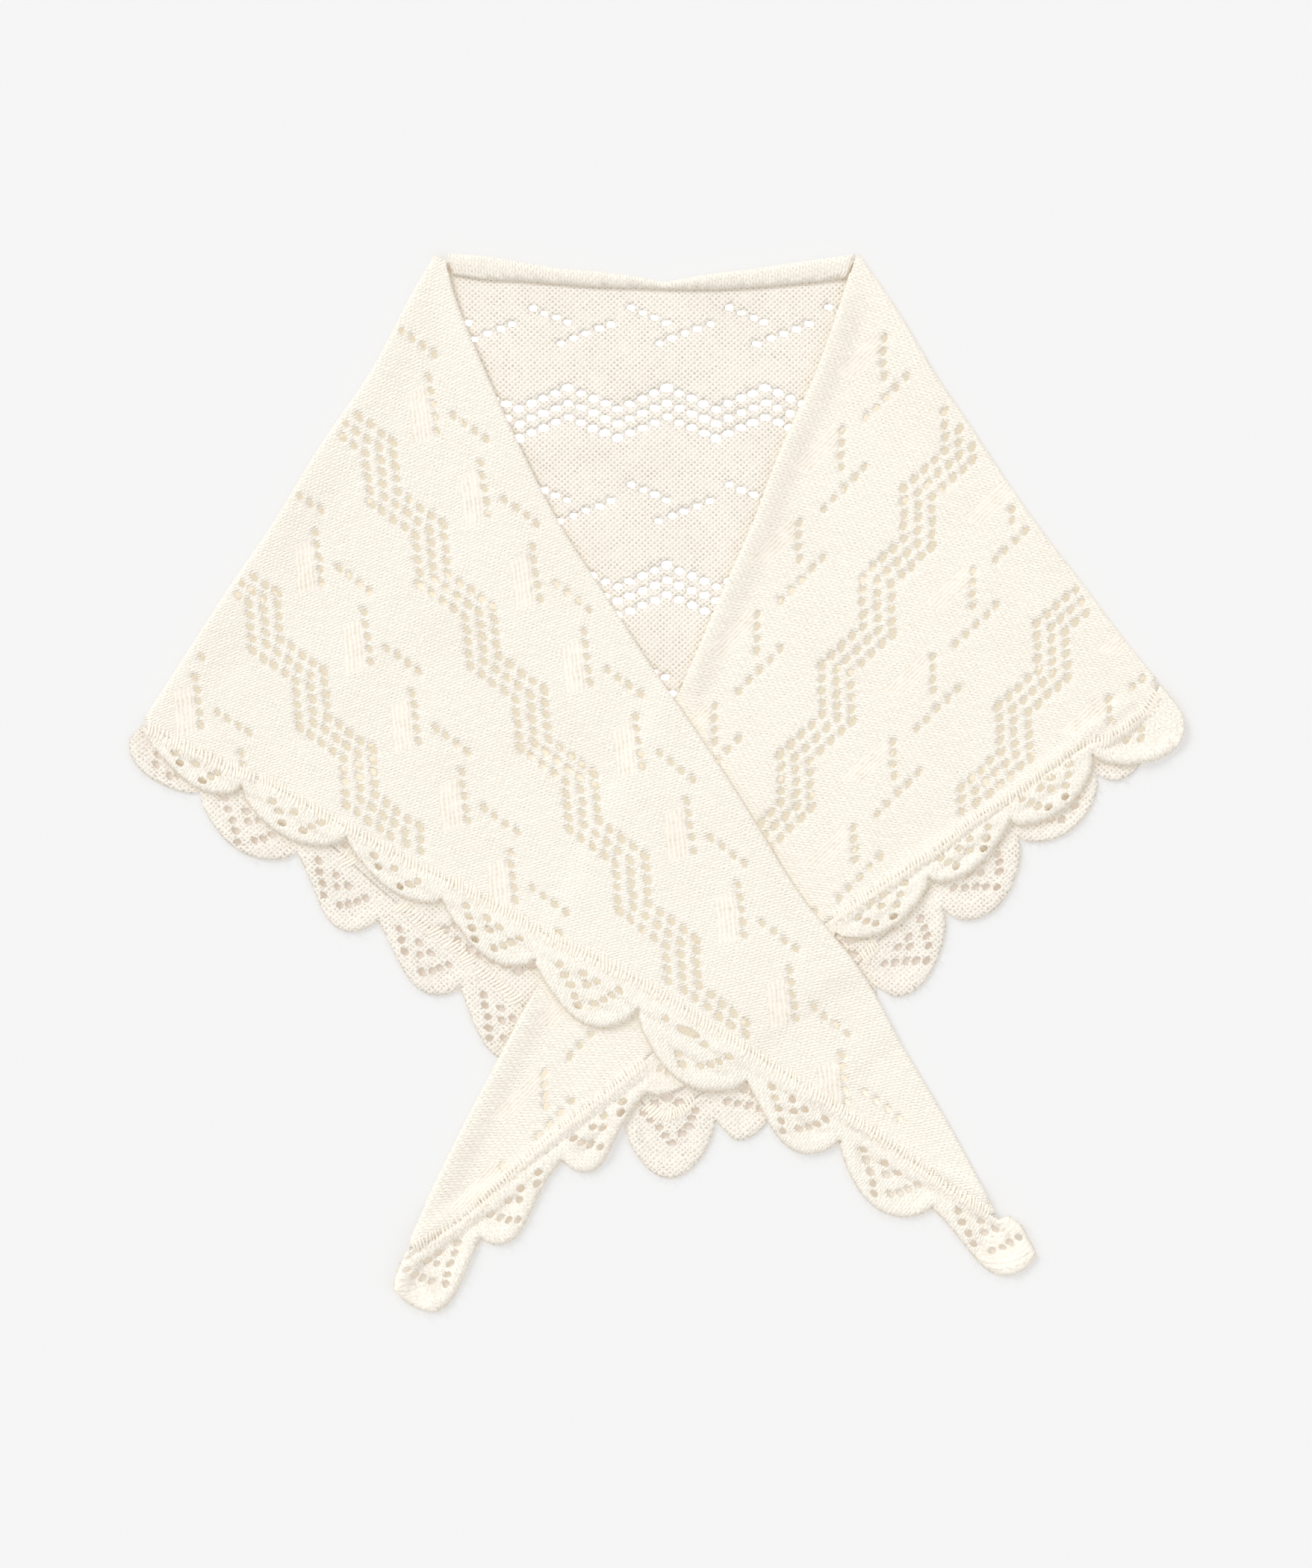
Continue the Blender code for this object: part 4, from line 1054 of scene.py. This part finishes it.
def loose_fibres(rim, open_depth, inward, lay, dice):
    """Fine curved fibres that stand out from the open rim of a cloth."""
    at = np.concatenate([[0.0], np.cumsum(np.hypot(*np.diff(rim, axis=0).T))])
    even = np.arange(0, at[-1], FIBRE_PITCH)
    line = np.stack([np.interp(even, at, rim[:, 0]), np.interp(even, at, rim[:, 1])], 1)
    line = line[open_depth(line) > FIBRE_CLEAR]
    run = np.gradient(line, axis=0)
    run /= np.maximum(np.hypot(run[:, 0], run[:, 1]), 1e-6)[:, None]
    out = np.stack([run[:, 1], -run[:, 0]], 1) * inward
    lines = []
    for p, d, n in zip(line, run, out):
        if dice.random() > FIBRE_SHARE:
            continue
        reach, lean, bend = dice.uniform(4, FIBRE_REACH), dice.uniform(-1.2, 1.2), dice.uniform(-3, 3)
        t = np.linspace(0, 1, 4)[:, None]
        lines.append(p - n * 2 + (n + d * lean) * reach * t + d * bend * t * t)
    base = np.vstack([f[0] for f in lines])
    height = np.repeat(lay(base)[:, 2], 4)
    laid = to_metres(np.vstack(lines), height).reshape(len(lines), 4, 3)
    lift = np.array([dice.uniform(0.0, 0.0012) for _ in lines])
    laid[:, :, 2] += lift[:, None] * np.linspace(0, 1, 4)
    return list(laid)


def floor_light(points, s):
    """Light on the floor: plain in the open, tinted by the cloth where the cloth lies over it."""
    light = np.tile(np.array(s.floor_light, float), (len(points), 1))
    back = np.vstack([SIDES["left"]["fold"], BACK_RIM, SIDES["right"]["fold"][::-1],
                      np.array(NECK, float)[::-1, :2] + (0, 24)])
    neck = np.vstack([[(572, 390)], np.array(NECK, float)[:, :2] + (0, 24), [(1161, 390), (887, 1015)]])
    left, right = (np.vstack([p["fold"], p["seam"], p["inner"][::-1]]) for p in SIDES.values())
    for loop, colour in ((back, s.under_edging), (LEFT_PLAN, s.under_tail), (RIGHT_PLAN, s.under_tail),
                         (neck, s.under_neck), (left, s.under_fronts), (right, s.under_fronts)):
        mask = inside(points, loop) * ease(rim_distance(points, loop) / 9)
        light += (np.array(colour) - light) * mask[:, None]
    return light


def finish_piece(obj, node, slot, flat, area, rests_on):
    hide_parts(node)
    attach(obj, "root")


class SHAWL_OT_back(Operator):
    """Knits the back panel, wrong side up, with its neck edge rolled over"""

    bl_idname = "shawl.back"
    bl_label = "Back panel"

    def execute(self, context):
        s = context.scene.shawl
        mats = shawl_materials(s)
        loop, rows = back_loop()
        dice = random.Random(s.seed)
        holes = panel_holes("back", loop, s, dice)
        obj = knit_sheet("back_knit", loop, holes, rows, lambda p: lay_back(p, s),
                         lambda p: stitches(p, "back"), s.grain, s, mats["Knit wrong side"],
                         mats["Knit right side"], hidden_wrong=under_fronts)
        finish_piece(obj, "back_body", "knit_reverse", (0.445, 0.440), 0.145, [])
        return {"FINISHED"}


class SHAWL_OT_fronts(Operator):
    """Knits the two fronts, each folded over at its shoulder, the left one crossed over the right"""

    bl_idname = "shawl.fronts"
    bl_label = "Fronts"

    def execute(self, context):
        s = context.scene.shawl
        mats = shawl_materials(s)
        for i, side in enumerate(("right", "left")):
            loop, rows = front_loop(side, s)
            dice = random.Random(s.seed + 1 + i)
            holes = panel_holes(side, loop, s, dice)
            number = turned_stitches if side == "right" else stitches
            obj = knit_sheet(side + "_front_knit", loop, holes, rows, lambda p, q=side: lay_front(p, q, s),
                             lambda p, q=side, number=number: number(p, q), s.grain, s,
                             mats["Knit right side"], mats["Knit wrong side"],
                             hidden_right=under_left if side == "right" else nowhere,
                             hidden_wrong=lambda p, q=side: turned_under(p, q, s))
            finish_piece(obj, side + "_front_body", "knit_face", *FRONT_CUTS[side], ["back_knit"])
        return {"FINISHED"}


class SHAWL_OT_edgings(Operator):
    """Knits the scalloped lace edging of the back and of both fronts"""

    bl_idname = "shawl.edgings"
    bl_label = "Lace edging"

    def execute(self, context):
        s = context.scene.shawl
        mats = shawl_materials(s)
        seam = curve(BACK_SEAM, 8)
        loop = np.vstack([offset_line(seam, 0.5, 1), BACK_RIM[::-1]])
        holes = scallop_holes(BACK_SCALLOPS, (1552, 917), loop, s, random.Random(s.seed + 5))
        obj = knit_sheet("back_edging_knit", loop, holes, [], lambda p: lay_back(p, s),
                         lambda p: stitches(p, "back"), s.fine_grain, s, mats["Edging wrong side"],
                         mats["Edging right side"], hidden_wrong=under_fronts)
        finish_piece(obj, "back_edging", "knit_reverse", (0.69, 0.036), 0.0175, [])
        for i, side in enumerate(("right", "left")):
            outward = 1 if side == "left" else -1
            table, tip = (LEFT_SCALLOPS, LEFT_TIP) if side == "left" else (RIGHT_SCALLOPS, RIGHT_TIP)
            loop = np.vstack([offset_line(SIDES[side]["seam"], 0.5 * outward, 1), RIMS[side][::-1]])
            holes = scallop_holes(table, tip[0], loop, s, random.Random(s.seed + 6 + i))
            obj = knit_sheet(side + "_front_edging_knit", loop, holes, [],
                             lambda p, q=side: lay_front(p, q, s),
                             lambda p, q=side: seam_counts(p, SIDES[q]["seam"]), s.fine_grain, s,
                             mats["Edging right side"], mats["Edging wrong side"],
                             hidden_right=under_left if side == "right" else nowhere)
            finish_piece(obj, side + "_front_edging", "knit_edging", *EDGING_CUTS[side], ["back_knit"])
        return {"FINISHED"}


class SHAWL_OT_linking(Operator):
    """Links the edgings to the bodies with a row of long stitches"""

    bl_idname = "shawl.linking"
    bl_label = "Linking stitches"

    def execute(self, context):
        s = context.scene.shawl
        yarn = shawl_materials(s)["Linking yarn"]
        dice = random.Random(s.seed + 20)
        runs = (("back", BACK_SEAM, -1, lambda p: bare_depth(p) > LINK_CLEAR, lambda p: lay_back(p, s)),
                ("left_front", LEFT_SEAM, 1, lambda p: p[:, 0] > 0, lambda p: lay_front(p, "left", s)),
                ("right_front", RIGHT_SEAM, -1, lambda p: cover(p, LEFT_PLAN, 0, 20) < 0.05,
                 lambda p: lay_front(p, "right", s)))
        for name, seam, outward, shown, lay in runs:
            lines = seam_stitches(seam, outward, shown, lay, s, dice)
            obj = strands(name + "_linking", lines, [dice.uniform(0.0006, 0.0009) for _ in lines], yarn)
            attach(obj, "root")
        return {"FINISHED"}


class SHAWL_OT_fibres(Operator):
    """Raises the yarn's loose fibres along the rims"""

    bl_idname = "shawl.fibres"
    bl_label = "Loose fibres"

    def execute(self, context):
        s = context.scene.shawl
        yarn = shawl_materials(s)["Linking yarn"]
        dice = random.Random(s.seed + 30)
        runs = (("back", BACK_RIM, -1, lambda p: lay_back(p, s), bare_depth),
                ("left_front", LEFT_RIM, -1, lambda p: lay_front(p, "left", s),
                 lambda p: np.full(len(p), np.inf)),
                ("right_front", RIGHT_RIM, 1, lambda p: lay_front(p, "right", s),
                 lambda p: gap_to(p, LEFT_PLAN)))
        for name, rim, inward, lay, open_depth in runs:
            lines = loose_fibres(rim, open_depth, inward, lay, dice)
            obj = strands(name + "_fibres", lines, [FIBRE_RADIUS] * len(lines), yarn, sides=3)
            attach(obj, "root")
        return {"FINISHED"}


class SHAWL_OT_stage(Operator):
    """Sets the pale floor, the soft lights and the camera straight above"""

    bl_idname = "shawl.stage"
    bl_label = "Stage"

    def execute(self, context):
        s = context.scene.shawl
        bpy.ops.object.select_all(action="DESELECT")
        bpy.ops.mesh.primitive_grid_add(x_subdivisions=FLOOR_CELLS, y_subdivisions=FLOOR_CELLS,
                                        size=FLOOR_CELLS, location=(0, 0, -0.0002))
        floor = context.active_object
        floor.name = "floor"
        spots = np.empty(len(floor.data.vertices) * 3)
        floor.data.vertices.foreach_get("co", spots)
        spots = spots.reshape(-1, 3)
        outermost = np.abs(spots[:, :2]) > FLOOR_CELLS / 2 - 0.5
        spots[:, :2] = np.where(outermost, np.sign(spots[:, :2]) * FLOOR_REACH,
                                spots[:, :2] * (FLOOR_SPAN / FLOOR_CELLS))
        floor.data.vertices.foreach_set("co", spots.ravel())
        plan = np.stack([spots[:, 0] / UNIT + CENTRE_X, CENTRE_Y - spots[:, 1] / UNIT], 1)
        lit = floor.data.attributes.new("floor_light", "FLOAT_VECTOR", "POINT")
        lit.data.foreach_set("vector", floor_light(plan, s).ravel())
        material, w, shader = new_material("Pale floor", {
            "Base Color": (*s.floor, 1), "Roughness": 1.0, "Specular IOR Level": 0.0,
            "Emission Strength": 1.0})
        attribute = w.put("ShaderNodeAttribute", attribute_name="floor_light")
        w.join(attribute.outputs["Color"], shader.inputs["Emission Color"])
        floor.data.materials.append(material)
        world = bpy.data.worlds.new("Studio")
        context.scene.world = world
        world.use_nodes = True
        preset(world.node_tree.nodes["Background"], {"Color": (1.0, 1.0, 1.0, 1), "Strength": 0.72})
        for name, place, spread, power in (("key", (-0.75, 0.85, 1.05), 0.4, 1.5),
                                           ("fill", (1.0, -0.5, 2.0), 1.2, 0.3)):
            data = bpy.data.lights.new(name, "SUN")
            data.angle = spread
            data.energy = power
            light = put_in_scene(name, data)
            light.location = place
            light.rotation_euler = (-Vector(place)).to_track_quat("-Z", "Y").to_euler()
        data = bpy.data.cameras.new("camera")
        camera = put_in_scene("camera", data)
        camera.location = (0.0, 0.0006, CAMERA_HEIGHT)
        data.lens = SENSOR * CAMERA_HEIGHT / FRAME_HEIGHT
        data.sensor_width = SENSOR
        context.scene.camera = camera
        context.scene.view_settings.view_transform = "Standard"
        return {"FINISHED"}


class SHAWL_PT_panel(Panel):
    """Lists the shawl's sizes, colours and operators"""

    bl_idname = "SHAWL_PT_panel"
    bl_label = "Knitted lace shawl"
    bl_space_type = "VIEW_3D"
    bl_region_type = "UI"
    bl_category = "Shawl"

    def draw(self, context):
        s = context.scene.shawl
        for name in ShawlSizes.__annotations__:
            self.layout.prop(s, name)
        for operator in CLASSES[1:-1]:
            self.layout.operator(operator.bl_idname)


CLASSES = (ShawlSizes, SHAWL_OT_back, SHAWL_OT_fronts, SHAWL_OT_edgings, SHAWL_OT_linking,
           SHAWL_OT_fibres, SHAWL_OT_stage, SHAWL_PT_panel)


def register():
    for cls in CLASSES:
        bpy.utils.register_class(cls)
    bpy.types.Scene.shawl = PointerProperty(type=ShawlSizes)


def unregister():
    del bpy.types.Scene.shawl
    for cls in reversed(CLASSES):
        bpy.utils.unregister_class(cls)


def main():
    register()
    bpy.ops.shawl.back()
    bpy.ops.shawl.fronts()
    bpy.ops.shawl.edgings()
    bpy.ops.shawl.linking()
    bpy.ops.shawl.fibres()
    bpy.ops.shawl.stage()


if __name__ == "__main__":
    main()
